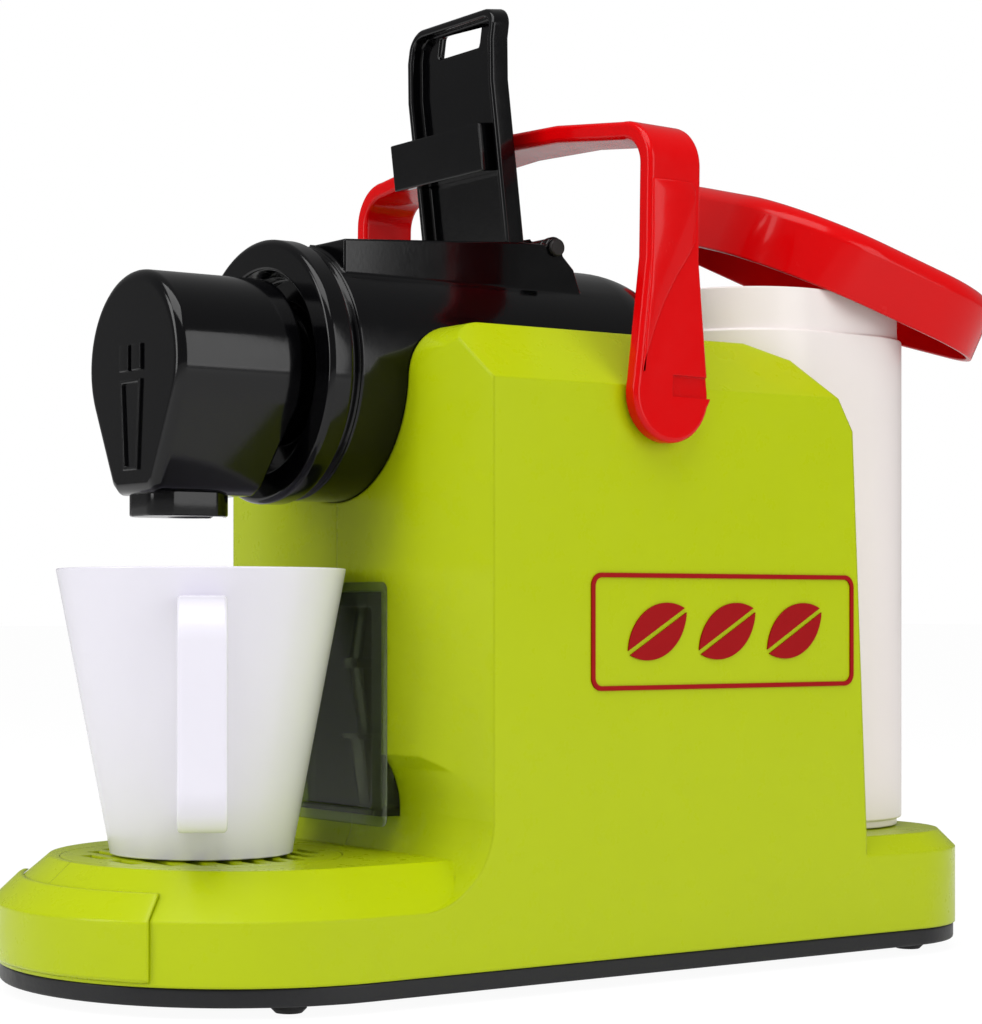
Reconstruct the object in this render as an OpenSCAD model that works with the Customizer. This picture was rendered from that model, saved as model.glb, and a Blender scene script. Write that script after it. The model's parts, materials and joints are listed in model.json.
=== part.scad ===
// Toy coffee maker with a lever-closed capsule flap, lift-off tank and cup.
// Front faces -Y, up is +Z, the floor is z = 0. Lengths are in millimetres.

/* [Base] */
// Width over the side faces
body_w = 114; // [104:1:130]
// Y of the nose tip
nose_y = -137; // [-144.5:0.5:-132.5]
// Y of the rear face
rear_y = 119.5; // [117.5:0.5:131.5]
// Radius of the rear corners
rear_r = 30; // [20:1:36]
// Height of the feet below the pan
foot_h = 2.6; // [2:0.2:5]
// Height of the pan below the seam
pan_h = 4.3; // [3:0.1:8]
// Height of the deck
deck_z = 31; // [29:0.5:36]
// Height of the bevel's outer line
bevel_z = 21; // [16:0.5:24]
// Width of the bevel on the deck
bevel_w = 12; // [6:0.5:15]
// Height of the rear part's bevel
rear_bevel_h = 4.5; // [2:0.5:6]
// Wall of the moulded shells
wall = 2.4; // [1.8:0.1:3]

/* [Tower] */
// Y of the flat front face
tower_front_y = -52.5; // [-56.5:0.5:-50.5]
// Half width of the flat front face
face_half = 35; // [33:0.5:42]
// Depth of the front bevel
face_bevel = 5; // [4:0.5:6]
// Height of the top
tower_z = 155; // [152:0.5:162]
// Height of the top bevel
top_bevel_h = 14; // [8:0.5:16]
// Width of the top bevel
top_bevel_w = 15; // [10:0.5:15]
// Y of the side panels' rear edge
panel_rear_y = 67.5; // [61.5:0.5:75.5]
// Radius of the fillet between tower and base
root_r = 20; // [12:1:24]

/* [Barrel and head] */
// Radius of the barrel
barrel_r = 30.5; // [29:0.25:31.5]
// Height of the barrel's axis
barrel_z = 145; // [142:0.5:150]
// Y of the barrel's front edge
barrel_front_y = -65.5; // [-68.5:0.5:-60.5]
// Y where the domed end starts
dome_y = 19.5; // [11.5:0.5:21.5]
// Wall of the barrel
barrel_wall = 2.6; // [2:0.1:3.4]
// Radius of the collar's flange
flange_r = 31.5; // [30.5:0.25:33]
// Y of the flange's front
flange_y = -74.5; // [-78.5:0.5:-71.5]
// Radius of the head
head_r = 22; // [20:0.5:23.5]
// Y of the head's face
head_y = -109; // [-112.5:0.5:-106.5]
// Height of the head's flat bottom
head_bottom_z = 115; // [112:0.5:118]
// Half width of the head's flat bottom
head_foot = 10; // [8:0.5:12]
// Height of the nozzle's outlet
nozzle_z = 110; // [106:0.5:112]

/* [Flap and lever] */
// Y of the flap's hinge
hinge_y = -1.5; // [-3.5:0.25:-0.5]
// Height of the flap's hinge
hinge_z = 178; // [177.6:0.2:179]
// Diameter of the flap's pin
hinge_d = 3; // [2.4:0.1:3.6]
// Width of the flap
flap_w = 36; // [34:0.5:38]
// Length of the flap from its hinge
flap_l = 60; // [56:0.5:61]
// Depth of the flap's rims
rim_d = 5.4; // [4.6:0.2:5.6]
// Forward lean of the open flap
flap_lean = 7; // [5:0.5:8]
// Depth of the closed flap's back below its hinge
flap_drop = 7; // [6.4:0.2:7.4]
// Y of the lever's pivot
pivot_y = 1.5; // [-0.5:0.25:3.5]
// Height of the lever's pivot
pivot_z = 139; // [137:0.25:141]
// Diameter of the lever's cross shaft
shaft_d = 6; // [5:0.25:8]
// Outer reach of the crossbar from the pivot
lever_reach = 65; // [63:0.5:68]
// Rise of the crossbar's middle over its ends
bar_crown = 4.2; // [3:0.2:6]
// Width of the lever's strap
strap_w = 16; // [14:0.5:17]
// Thickness of the lever's strap
strap_t = 4.4; // [3.6:0.2:5]
// Radius of the lever's discs
disc_r = 11.5; // [10:0.5:12.5]
// Backward lean of the resting lever
lever_lean = 1; // [0:0.5:3]

/* [Tank and lid] */
// Half width of the tank
tank_half = 41; // [38:0.25:41.5]
// Y of the tank's front
tank_front_y = 39.5; // [38.5:0.5:43.5]
// Y of the tank's rear
tank_rear_y = 115; // [111.5:0.5:116]
// Corner radius of the tank
tank_r = 28; // [22:1:32]
// Height of the tank's shoulder
shoulder_z = 160; // [156:0.5:164]
// Height of the tank's rim
rim_z = 171; // [168:0.5:174]
// Wall of the tank
tank_wall = 2; // [1.6:0.1:2.6]
// Height of the lid
lid_h = 17; // [13:0.5:18]
// Rearward tilt of the lid as photographed
lid_tilt = 18; // [16:0.5:19]
// Sideways tilt of the lid as photographed
lid_roll = 14.5; // [13:0.5:15]
// Turn of the lid as photographed
lid_turn = 8; // [6:0.5:9]

/* [Cup] */
// Y of the cup's axis
cup_y = -90.5; // [-92.5:0.5:-89.5]
// Rim radius of the cup
cup_rim_r = 34; // [30:0.5:35]
// Foot radius of the cup
cup_foot_r = 21.5; // [18:0.5:24]
// Height of the cup
cup_h = 66.5; // [60:0.5:72]
// Wall of the cup
cup_wall = 1.8; // [1.4:0.1:2.4]

/* [Bin] */
// Half width of the bin's flange
bin_half = 22; // [19:0.5:24]
// Height of the bin's lower edge
bin_z0 = 37; // [36:0.5:42]
// Height of the bin's upper edge
bin_z1 = 95; // [88:0.5:98]

/* [Hidden] */
$fn = 96;
half_w = body_w / 2;
nose_c = nose_y + half_w;          // centre of the round nose
seam_z = foot_h + pan_h;
gap = 0.3;                         // between pieces that move apart
fit = 0.15;                        // between pieces that are assembled
run = 0.05;                        // radial running clearance of a pin
eps = 0.01;
big = 400;
bulk_y = tank_front_y - 0.8;       // tank side of the bulkhead
bore_r = barrel_r + fit;
strap_x = half_w + gap;            // inner face of the lever's arms
bar_in = lever_reach - strap_t;    // inner reach of the crossbar
grate_r = 33;
grate_t = 2.2;
cup_z = deck_z + 0.5;
middle_y = 4.05;                   // middle of the whole, nose to lid
screw_d = 3;

// ---------------------------------------------------------------- helpers

// Extrudes an outline in the YZ plane along X, from -w/2 to w/2.
module along_x(w) {
    rotate([90, 0, 90]) translate([0, 0, -w / 2]) linear_extrude(w) children();
}

// Extrudes an outline in the XZ plane along Y, from y0 to y1.
module along_y(y0, y1) {
    translate([0, y1, 0]) rotate([90, 0, 0]) linear_extrude(y1 - y0) children();
}

// A round bar along X through [y, z].
module bar_x(y, z, d, x0, x1) {
    translate([x0, y, z]) rotate([0, 90, 0]) cylinder(d = d, h = x1 - x0);
}

// A round bar along Y at height z.
module bar_y(z, r, y0, y1, r2 = undef) {
    translate([0, y1, z]) rotate([90, 0, 0])
        cylinder(r1 = is_undef(r2) ? r : r2, r2 = r, h = y1 - y0);
}

// A rectangle with round corners, given by its low and high corners.
module round_rect(x0, y0, x1, y1, r) {
    translate([x0 + r, y0]) square([x1 - x0 - 2 * r, y1 - y0]);
    translate([x0, y0 + r]) square([x1 - x0, y1 - y0 - 2 * r]);
    for (x = [x0 + r, x1 - r], y = [y0 + r, y1 - r]) translate([x, y]) circle(r);
}

// Keeps what lies on one side of the centre plane.
module half(side) {
    difference() {
        children();
        translate([side > 0 ? -big : 0, -big / 2, -1]) cube([big, big, big]);
    }
}

// ------------------------------------------------------------- body shells

// The base's plan: a half-round nose and a rear with round corners.
module base_plan(inset = 0) {
    w = half_w - inset;
    r = rear_r - inset;
    translate([0, nose_c]) circle(w);
    translate([-w, nose_c]) square([2 * w, rear_y - rear_r - nose_c]);
    translate([-half_w + rear_r, nose_c])
        square([body_w - 2 * rear_r, rear_y - inset - nose_c]);
    for (s = [-1, 1]) translate([s * (half_w - rear_r), rear_y - rear_r]) circle(r);
}

// Right half of the base block: a round nose and straight side with a wide
// bevel, and a tank end with a narrow one.
module base_half() {
    w = half_w;
    top = deck_z;
    high = deck_z - rear_bevel_h;
    yc = rear_y - rear_r;
    translate([0, nose_c, 0]) rotate([0, 0, -90]) rotate_extrude(angle = 90)
        polygon([[0, seam_z], [w, seam_z], [w, bevel_z], [w - bevel_w, top], [0, top]]);
    along_y(nose_c, panel_rear_y) polygon([[0, seam_z], [w, seam_z], [w, bevel_z],
        [w - bevel_w, top], [0, top]]);
    along_y(panel_rear_y, yc) polygon([[0, seam_z], [w, seam_z], [w, high],
        [w - rear_bevel_h, top], [0, top]]);
    translate([w - rear_r, yc, 0]) rotate_extrude(angle = 90)
        polygon([[0, seam_z], [rear_r, seam_z], [rear_r, high],
            [rear_r - rear_bevel_h, top], [0, top]]);
    translate([(w - rear_r) / 2, 0, 0]) along_x(w - rear_r)
        polygon([[yc, seam_z], [rear_y, seam_z], [rear_y, high],
            [rear_y - rear_bevel_h, top], [yc, top]]);
}

// Side view of the tower, with the rounded front brow, the fillet into the
// base and the cut-off upper rear corner.
module tower_side(t = 0) {
    f = tower_front_y + t;
    b = panel_rear_y - t;
    top = tower_z - t;
    brow = 12;
    difference() {
        union() {
            polygon([[f, seam_z], [b + 2, seam_z], [b + 2, deck_z], [b - 3, top - 22],
                [b - 14, top - 4], [b - 26, top], [f + brow, top], [f, top - brow]]);
            translate([f + brow, top - brow]) circle(brow);
            translate([f + face_bevel - root_r, bevel_z])
                square([root_r + 1, root_r]);
        }
        translate([f + face_bevel - root_r, bevel_z + root_r]) circle(root_r);
    }
}

module tower_block() {
    w = half_w;
    t = 0;
    top = tower_z;
    intersection() {
        along_x(body_w) tower_side(t);
        along_y(-big / 2, big / 2) polygon([[-w, seam_z], [w, seam_z],
            [w, top - top_bevel_h], [w - top_bevel_w, top],
            [-w + top_bevel_w, top], [-w, top - top_bevel_h]]);
        translate([0, 0, seam_z]) linear_extrude(big) union() {
            polygon([[-w, tower_front_y + face_bevel + t],
                [-face_half, tower_front_y + t], [face_half, tower_front_y + t],
                [w, tower_front_y + face_bevel + t], [w, big / 2], [-w, big / 2]]);
            translate([-w, tower_front_y - root_r])
                square([2 * w, root_r + face_bevel + t]);
        }
        translate([-w, -big / 2, seam_z])
            cube([2 * w, big, big]);
    }
}

// The bay that the tank drops into, grown by g.
module tank_bay(g = 0) {
    s = tank_half + 0.8 + g;
    translate([0, 0, deck_z - g]) linear_extrude(big) {
        round_rect(-s, bulk_y - g, s, bulk_y - g + 80, tank_r + g);
        translate([-s, bulk_y + tank_r]) square([2 * s, big]);
    }
}

// Everything that the shells make room for.
module body_cuts() {
    bar_y(barrel_z, bore_r, tower_front_y - 30, dome_y + 18);
    translate([-bore_r, tower_front_y - 30, barrel_z])
        cube([2 * bore_r, dome_y - tower_front_y + 30, big]);
    // window of the capsule bin
    translate([-bin_half + 2.2, tower_front_y - 5, bin_z0 + 2.2])
        cube([2 * bin_half - 4.4, 14, bin_z1 - bin_z0 - 4.4]);
    // drip grate and its tray
    translate([0, cup_y, deck_z - grate_t - fit]) cylinder(r = grate_r + fit, h = 20);
    translate([0, cup_y, deck_z - 12]) cylinder(r = grate_r - 3 + fit, h = 20);
    // tank outlet
    translate([0, outlet_y, deck_z - 20]) cylinder(r = outlet_r + 1.2, h = 40);
    // outlet hose
    translate([hose_x, hose_y, bin_z1 - 2]) cylinder(d = 7, h = 24);
    // cross shaft
    bar_x(pivot_y, pivot_z, shaft_d + 2 * run, -big / 2, big / 2);
}

// The room inside the shells: under the deck, in the tower and in the two
// wings beside the tank bay.
module inner_room(side) {
    low = bevel_z - 1;
    x = half_w - wall;
    shoulder = tower_z - top_bevel_h - wall;
    front = tower_front_y + face_bevel + wall;
    back = bulk_y - wall;
    wing = tank_half + 0.8 + wall;
    half(side) union() {
        translate([0, 0, seam_z - 1]) linear_extrude(low - seam_z + 1) base_plan(wall);
        translate([0, 0, low - 1]) linear_extrude(deck_z - wall - low + 1) base_plan(bevel_w + 1);
    }
    half(side) difference() {
        union() {
            translate([-x, front, low - 1]) cube([2 * x, back - tank_r - front, shoulder - low + 1]);
            translate([-x + top_bevel_w, front, low - 1])
                cube([2 * x - 2 * top_bevel_w, back - front, tower_z - wall - low + 1]);
        }
        // collar round the barrel's bore
        bar_y(barrel_z, bore_r + wall, front - 1, back + 1);
    }
    translate([side > 0 ? wing : -x, front, low - 1])
        cube([x - wing, panel_rear_y - 3 * wall - front, shoulder - low - 8]);
}

// The right half; the left one is its mirror image.
module body_half() {
    posts = [for (p = screw_posts) if (p[0] > 0) p];
    difference() {
        union() {
            difference() {
                union() {
                    base_half();
                    half(1) tower_block();
                }
                tank_bay();
                inner_room(1);
            }
            // ring under the grate, screw posts and shaft boss
            translate([0, cup_y, deck_z - 12 - wall]) rotate([0, 0, -90])
                rotate_extrude(angle = 180) square([grate_r + wall, 12]);
            for (p = posts) translate([p[0], p[1], seam_z])
                cylinder(d = screw_d + 5, h = bevel_z - seam_z);
            bar_x(pivot_y, pivot_z, shaft_d + 6, half_w - 8, half_w - 0.5);
        }
        body_cuts();
        for (p = posts) translate([p[0], p[1], seam_z - 1])
            cylinder(d = screw_d + 2 * fit, h = 13);
    }
}

outlet_y = (tank_front_y + tank_rear_y) / 2 - 16;
outlet_r = 7;
screw_posts = [for (s = [-1, 1], y = [nose_c + 22, rear_y - 46])
    [s * (half_w - 14), y]];

module body_right() { color("yellowgreen") body_half(); }
module body_left() { color("olivedrab") mirror([1, 0, 0]) body_half(); }

// Raised band round the front of the nose.
module nose_bumper() {
    span = 39;
    t = 1.1;
    color("yellowgreen") translate([0, nose_c, 0]) rotate([0, 0, -90 - span])
        rotate_extrude(angle = 2 * span) polygon([
            [half_w + fit, seam_z + 0.6], [half_w + t, seam_z + 1.4],
            [half_w + t, bevel_z], [half_w - bevel_w / 2 + t, (bevel_z + deck_z) / 2 + 0.6],
            [half_w - bevel_w / 2 - 0.4, (bevel_z + deck_z) / 2 + 0.6],
            [half_w + fit, bevel_z + 0.1]]);
}

// ------------------------------------------------------------------- base

door_w = 62;
door_l = 66;
door_y = -8.5;
door_t = 2;

module base_pan() {
    color("dimgray") difference() {
        translate([0, 0, foot_h]) linear_extrude(pan_h - eps) base_plan(0.5);
        translate([0, 0, foot_h + wall]) linear_extrude(pan_h) base_plan(3);
        translate([-door_w / 2 - fit, door_y - door_l / 2 - fit, foot_h - 1])
            cube([door_w + 2 * fit, door_l + 2 * fit, door_t + 1]);
        translate([-door_w / 2 + 3, door_y - door_l / 2 + 3, foot_h - 1])
            cube([door_w - 6, door_l - 6, 10]);
        for (p = screw_posts) translate([p[0], p[1], foot_h - 1])
            cylinder(d = screw_d + 2 * fit, h = 10);
        for (p = screw_posts) translate([p[0], p[1], foot_h - 1])
            cylinder(d = 6.4, h = 1 + 1.6);
        tab_room();
    }
}

foot_at = [for (s = [-1, 1], y = [nose_c - 14, rear_y - 22]) [s * (half_w - 13), y]];

module feet() {
    color("black") for (p = foot_at) translate([p[0], p[1], 0]) {
        cylinder(r1 = 3, r2 = 4, h = 1);
        translate([0, 0, 1]) cylinder(r = 4, h = foot_h - 1);
    }
}

// Round grate with long slots, flush with the deck.
module drip_grate() {
    slot_w = 3;
    pitch = 6;
    rows = floor((grate_r - 8) / pitch);
    color("yellowgreen") translate([0, cup_y, deck_z - grate_t]) difference() {
        union() {
            cylinder(r = grate_r, h = grate_t);
            difference() {
                translate([0, 0, grate_t - eps]) cylinder(r = 21, h = 0.2 + eps);
                translate([0, 0, 0]) cylinder(r = 19, h = 9);
            }
        }
        for (i = [-rows:rows]) let (l = sqrt(pow(grate_r - 6, 2) - pow(i * pitch, 2)))
            for (s = [-1, 1]) translate([s > 0 ? 2 : -l, i * pitch - slot_w / 2, -1])
                cube([l - 2, slot_w, 9]);
    }
}

module drip_tray() {
    r = grate_r - 3;
    color("gray") translate([0, cup_y, deck_z - 12]) difference() {
        cylinder(r = r, h = 12 - grate_t);
        translate([0, 0, 1.4]) cylinder(r = r - 1.6, h = 20);
    }
}

box_z = foot_h + door_t;

module battery_box() {
    color("darkslategray") difference() {
        translate([-door_w / 2 + 3.2, door_y - door_l / 2 + 3.2, box_z])
            cube([door_w - 6.4, door_l - 6.4, 20]);
        translate([-door_w / 2 + 5, door_y - door_l / 2 + 5, box_z - 1])
            cube([door_w - 10, door_l - 10, 19]);
        tab_room();
        translate([0, door_y + door_l / 2 - 5, box_z - 1]) cylinder(d = screw_d + 2 * fit, h = 5);
    }
}

// Room for the two tabs that hook the battery door in.
module tab_room() {
    for (x = [-18, 18]) translate([x - 4 - fit, door_y - door_l / 2 - 1.6 - fit, foot_h + door_t - 0.1])
        cube([8 + 2 * fit, 6 + 2 * fit, 1.2 + fit]);
}

cell_d = 14.2;
cell_x = [-16.5, 0, 16.5];

module batteries() {
    color("silver") for (x = cell_x) {
        translate([x, door_y + 25, box_z + 9]) rotate([90, 0, 0]) cylinder(d = cell_d, h = 49);
        translate([x, door_y - 24 + eps, box_z + 9]) rotate([90, 0, 0]) cylinder(d = 5.4, h = 1.4);
    }
}

module battery_contacts() {
    color("gold") for (x = cell_x) {
        translate([x - 5, door_y + 25, box_z + 4]) cube([10, 1.6, 10]);
        translate([x - 5, door_y - door_l / 2 + 5, box_z + 4]) cube([10, 2.5, 10]);
    }
}

module battery_door() {
    color("gray") difference() {
        union() {
            translate([-door_w / 2, door_y - door_l / 2, foot_h]) cube([door_w, door_l, door_t]);
            for (x = [-18, 18]) translate([x - 4, door_y - door_l / 2 - 1.6, foot_h + door_t - eps])
                cube([8, 6, 1]);
        }
        translate([0, door_y + door_l / 2 - 5, foot_h - 1]) cylinder(d = screw_d + 2 * fit, h = 9);
        for (i = [0:3]) translate([-8, door_y - 24 + i * 3, foot_h - 1]) cube([16, 1.2, 1.6]);
    }
}

module screw(h) {
    cylinder(d = 5.6, h = 1.5);
    translate([0, 0, 1.5 - eps]) cylinder(d = screw_d, h = h);
}

module door_screw() {
    color("silver") translate([0, door_y + door_l / 2 - 5, foot_h - 1.5]) screw(4);
}

module body_screws() {
    color("silver") for (p = screw_posts) translate([p[0], p[1], foot_h + 0.1]) screw(12);
}

// ---------------------------------------------------------- barrel and head

flap_plug_half = flap_w / 2 - 3.4;
hatch_half = flap_plug_half + 1.4;
hatch_y0 = -42.5;
hatch_y1 = -11.5;

flap_tip = hinge_y - flap_l;
flap_top = hinge_z - flap_drop;    // back of the closed flap
pocket_half = flap_w / 2 + 0.4;
bezel_half = pocket_half + 2.6;
pocket_z = flap_top - rim_d - 0.5;
tab_x = bezel_half + 2.4;

// Side view of the raised bezel that the flap closes into.
module bezel_side() {
    y0 = flap_tip - 2.6;
    polygon([[y0, barrel_z + 10], [y0, barrel_z + barrel_r - 0.3], [hinge_y - 10, hinge_z + 0.6],
        [hinge_y, hinge_z + 0.6], [hinge_y + 6, hinge_z - 5], [hinge_y + 9, barrel_z + 20],
        [hinge_y + 9, barrel_z + 10]]);
    translate([hinge_y, hinge_z]) circle(2.8);
}

module barrel() {
    color("dimgray") {
        difference() {
            union() {
                bar_y(barrel_z, barrel_r, barrel_front_y, dome_y);
                // domed rear end
                translate([0, dome_y, barrel_z]) intersection() {
                    sphere(barrel_r);
                    translate([-40, -eps, -40]) cube([80, 16, 80]);
                }
                along_x(2 * bezel_half) bezel_side();
            }
            bar_y(barrel_z, barrel_r - barrel_wall, barrel_front_y - 1, dome_y);
            translate([0, dome_y, barrel_z]) intersection() {
                sphere(barrel_r - barrel_wall);
                translate([-40, -1, -40]) cube([80, 15 - barrel_wall, 80]);
            }
            // pocket of the flap, and the notch of its catch
            translate([-pocket_half, flap_tip - 1.2, pocket_z])
                cube([2 * pocket_half, flap_l + 5.2, big]);
            translate([-tab_x - 0.6, hinge_y - 37.4, flap_top - 9])
                cube([tab_x + 0.6 - hatch_half + 1, 20.4, big]);
            bar_x(hinge_y, hinge_z, hinge_d + 2 * run, -40, 40);
            bar_x(pivot_y, pivot_z, shaft_d + 2 * fit, -40, 40);
            // way in for the outlet hose
            translate([hose_x, hose_y, barrel_z - barrel_r - 2]) cylinder(d = 7, h = 8);
        }
        // floor of the pocket round the hatch
        difference() {
            intersection() {
                bar_y(barrel_z, barrel_r - 1, flap_tip - 2, hinge_y + 6);
                translate([-40, -200, pocket_z - 2.2]) cube([80, 300, 2.2]);
            }
            translate([-hatch_half, hatch_y0, barrel_z])
                cube([2 * hatch_half, hatch_y1 - hatch_y0, big]);
            translate([-tab_x - 0.6, hinge_y - 37.4, flap_top - 9])
                cube([tab_x + 0.6 - hatch_half + 1, 20.4, big]);
        }
    }
}

// Front ring of the barrel: flange, V-groove and the recess for the head.
module collar() {
    y1 = barrel_front_y - eps;
    color("black") translate([0, 0, barrel_z]) rotate([90, 0, 0]) rotate_extrude() polygon([
        [neck_r + fit, -y1], [barrel_r, -y1], [barrel_r - 1.6, -y1 + 1.4],
        [flange_r, -y1 + 3], [flange_r, -flange_y - 1], [flange_r - 1, -flange_y],
        [24.5, -flange_y], [22.5, -flange_y - 3], [22.5, -y1 + 3], [neck_r + fit, -y1 + 3]]);
}

neck_r = 17;

// Outline of the head: a circle that runs down to a flat foot.
module head_outline(inset = 0) {
    r = head_r - inset;
    fx = head_foot - inset * 0.6;
    fz = head_bottom_z + inset - barrel_z;
    a = atan2(fz, fx) + acos(r / norm([fx, fz])) + 3;
    c = r * 0.98;
    translate([0, barrel_z]) {
        circle(r);
        polygon([[c * cos(a), c * sin(a)], [fx, fz], [-fx, fz], [-c * cos(a), c * sin(a)]]);
    }
}

head_back_y = -83.5;
split_z = barrel_z - 1;

// Side view of the head: the lower rear edge slants forward.
module head_side(t = 0) {
    polygon([[head_y - 1, head_bottom_z - 20], [head_back_y - t - 5, head_bottom_z - 20],
        [head_back_y - t - 5, head_bottom_z], [head_back_y - t, head_bottom_z + 20],
        [head_back_y - t, barrel_z + 40], [head_y - 1, barrel_z + 40]]);
}

module head_solid() {
    difference() {
        union() {
            intersection() {
                union() {
                    along_y(head_y + 2, head_back_y) head_outline();
                    along_y(head_y + 0.9, head_y + 2) head_outline(0.7);
                    along_y(head_y, head_y + 0.9) head_outline(2);
                }
                along_x(100) head_side();
            }
            bar_y(barrel_z, neck_r, head_back_y - 1, barrel_front_y + 2);
        }
        intersection() {
            along_y(head_y + wall, head_back_y) head_outline(wall + 0.6);
            along_x(100) head_side(wall);
        }
        bar_y(barrel_z, neck_r - wall, head_back_y - wall - 1, barrel_front_y + 3);
        // opening for the nozzle
        translate([0, 0, head_bottom_z - 5]) linear_extrude(12)
            round_rect(-6.6, nozzle_y0 - 0.2, 6.6, nozzle_y1 + 0.2, 4);
    }
}

module head_upper() {
    color("black") intersection() {
        head_solid();
        translate([-50, -150, split_z]) cube([100, 150, 100]);
    }
}

module head_lower() {
    color("dimgray") intersection() {
        head_solid();
        translate([-50, -150, split_z - 100]) cube([100, 150, 100 - eps]);
    }
}

// Low relief on the head's face: a keyhole of a tapered rib and a grid.
module head_relief() {
    t = 0.8;
    color("gray") translate([0, head_y - t, 0]) {
        along_y(0, t - eps) polygon([[-2.6, head_bottom_z + 5], [2.6, head_bottom_z + 5],
            [4.4, barrel_z - 2], [-4.4, barrel_z - 2]]);
        for (i = [-1, 1], j = [0, 1]) translate([i * 4.6 - 2.2, 0, barrel_z + j * 5.6])
            cube([4.4, t - eps, 4.4]);
    }
}

nozzle_y0 = head_y + 5;
nozzle_y1 = head_back_y - 5.6;

module nozzle() {
    color("black") difference() {
        union() {
            translate([0, 0, nozzle_z]) linear_extrude(head_bottom_z + 6 - nozzle_z)
                round_rect(-6.4, nozzle_y0, 6.4, nozzle_y1, 4);
        }
        translate([0, cup_y - 3, nozzle_z - 1]) cylinder(d = 5, h = 30);
        translate([0, cup_y - 3, nozzle_z - 1]) cylinder(d1 = 11, d2 = 5, h = 4);
    }
}

module spout_tube() {
    color("lightgray") {
        difference() {
            union() {
                translate([0, cup_y - 3, nozzle_z + 4]) cylinder(d = 4.8, h = barrel_z - nozzle_z - 4);
                translate([0, cup_y - 3, barrel_z]) sphere(d = 6);
                translate([0, cup_y - 3, barrel_z]) rotate([-90, 0, 0])
                    cylinder(d = 4.8, h = hatch_y0 - cup_y + 2);
            }
            translate([0, cup_y - 3, nozzle_z + 3]) cylinder(d = 3, h = barrel_z - nozzle_z - 2);
            translate([0, cup_y - 3, barrel_z]) rotate([-90, 0, 0]) cylinder(d = 3, h = 90);
        }
    }
}

// Ring that a capsule drops into under the hatch.
module capsule_holder() {
    r = barrel_r - barrel_wall - fit;
    color("gray") difference() {
        intersection() {
            bar_y(barrel_z, r, hatch_y0 - 6, hatch_y1 + 4);
            translate([-50, -60, barrel_z - 50]) cube([100, 80, 56]);
        }
        translate([0, (hatch_y0 + hatch_y1) / 2, barrel_z - 18]) cylinder(r1 = 9, r2 = 14.6, h = 26);
        translate([0, (hatch_y0 + hatch_y1) / 2, barrel_z - 40]) cylinder(r = 7, h = 40);
        translate([0, hatch_y0 - 7, barrel_z]) rotate([-90, 0, 0]) cylinder(d = 5, h = 12);
    }
}

module pierce_needle() {
    color("silver") translate([0, (hatch_y0 + hatch_y1) / 2, barrel_z - 26]) {
        cylinder(d = 3, h = 14);
        translate([0, 0, 14 - eps]) cylinder(d1 = 3, d2 = 0.4, h = 5);
        cylinder(r = 6.8, h = 2);
    }
}

// ---------------------------------------------------------- flap and lever

// Turns the flap, drawn closed over the barrel, up to its open rest.
module open_flap() {
    translate([0, hinge_y, hinge_z]) rotate([-90 + flap_lean, 0, 0])
        translate([0, -hinge_y, -hinge_z]) children();
}

flap_t = 2.2;

// Side view of the closed flap down to depth d: level, with an upturned tip.
module flap_side(d) {
    polygon([[flap_tip, flap_top + 3.2], [flap_tip + 8, flap_top + 1.1], [flap_tip + 18, flap_top],
        [hinge_y + 1.5, flap_top], [hinge_y + 1.5, flap_top - flap_t], [hinge_y - 2, flap_top - d],
        [flap_tip + 18, flap_top - d], [flap_tip + 8, flap_top + 1.1 - d], [flap_tip, flap_top + 3.2 - d]]);
}

// Plan of the flap with round corners at its tip.
module flap_plan(g) {
    translate([0, 0, flap_top - 20]) linear_extrude(40)
        round_rect(-flap_w / 2 + g, flap_tip + g, flap_w / 2 - g, hinge_y + 12, 5 - g);
}

module flap() {
    color("black") open_flap() difference() {
        union() {
            difference() {
                intersection() {
                    along_x(flap_w) flap_side(rim_d);
                    flap_plan(0);
                }
                // hollow inner side between the rims
                intersection() {
                    along_x(flap_w) translate([0, -flap_t]) flap_side(rim_d + 5);
                    flap_plan(2);
                }
            }
            // goosenecks up to the knuckle
            for (s = [-1, 1]) translate([s > 0 ? 8 : -12, hinge_y - 2.6, flap_top - flap_t + 0.4])
                cube([4, 4, flap_drop + flap_t - 0.4]);
            bar_x(hinge_y, hinge_z, 5.2, -pocket_half + gap, pocket_half - gap);
        }
        bar_x(hinge_y, hinge_z, hinge_d + 2 * run, -40, 40);
        // finger slot near the tip
        translate([-8.5, flap_tip + 2.8, flap_top - 20]) cube([17, 5.6, 40]);
    }
}

plug_y0 = hinge_y - 32.1;
plug_y1 = hinge_y - 20.3;
plug_z = flap_top - 8.3;

// Block under the flap that presses the capsule down, with a catch at one end.
module flap_plug() {
    z1 = flap_top - flap_t - eps;
    color("dimgray") open_flap() {
        difference() {
            translate([-flap_plug_half, plug_y0, plug_z])
                cube([2 * flap_plug_half, plug_y1 - plug_y0, z1 - plug_z]);
            translate([-flap_plug_half + 2, plug_y0 + 2, plug_z + 1.8])
                cube([2 * flap_plug_half - 4, plug_y1 - plug_y0 - 4, z1 - plug_z]);
        }
        // catch, passed below the flap's rim
        translate([-tab_x, plug_y0, plug_z])
            cube([tab_x - flap_plug_half, plug_y1 - plug_y0, flap_top - rim_d - 0.1 - plug_z]);
    }
}

module hinge_pin() {
    e = bezel_half + 0.2;
    color("rosybrown") {
        bar_x(hinge_y, hinge_z, hinge_d, -e, e);
        for (s = [-1, 1]) bar_x(hinge_y, hinge_z, 5.4, s > 0 ? e - eps : -e - 1.4 + eps, s > 0 ? e + 1.4 - eps : -e + eps);
    }
}

// Stands the lever, drawn upright, at its resting lean.
module lean_lever() {
    translate([0, pivot_y, pivot_z]) rotate([-lever_lean, 0, 0]) children();
}

arm_x = strap_x + strap_t;         // outer face of the arms
lever_corner = 11;

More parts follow.
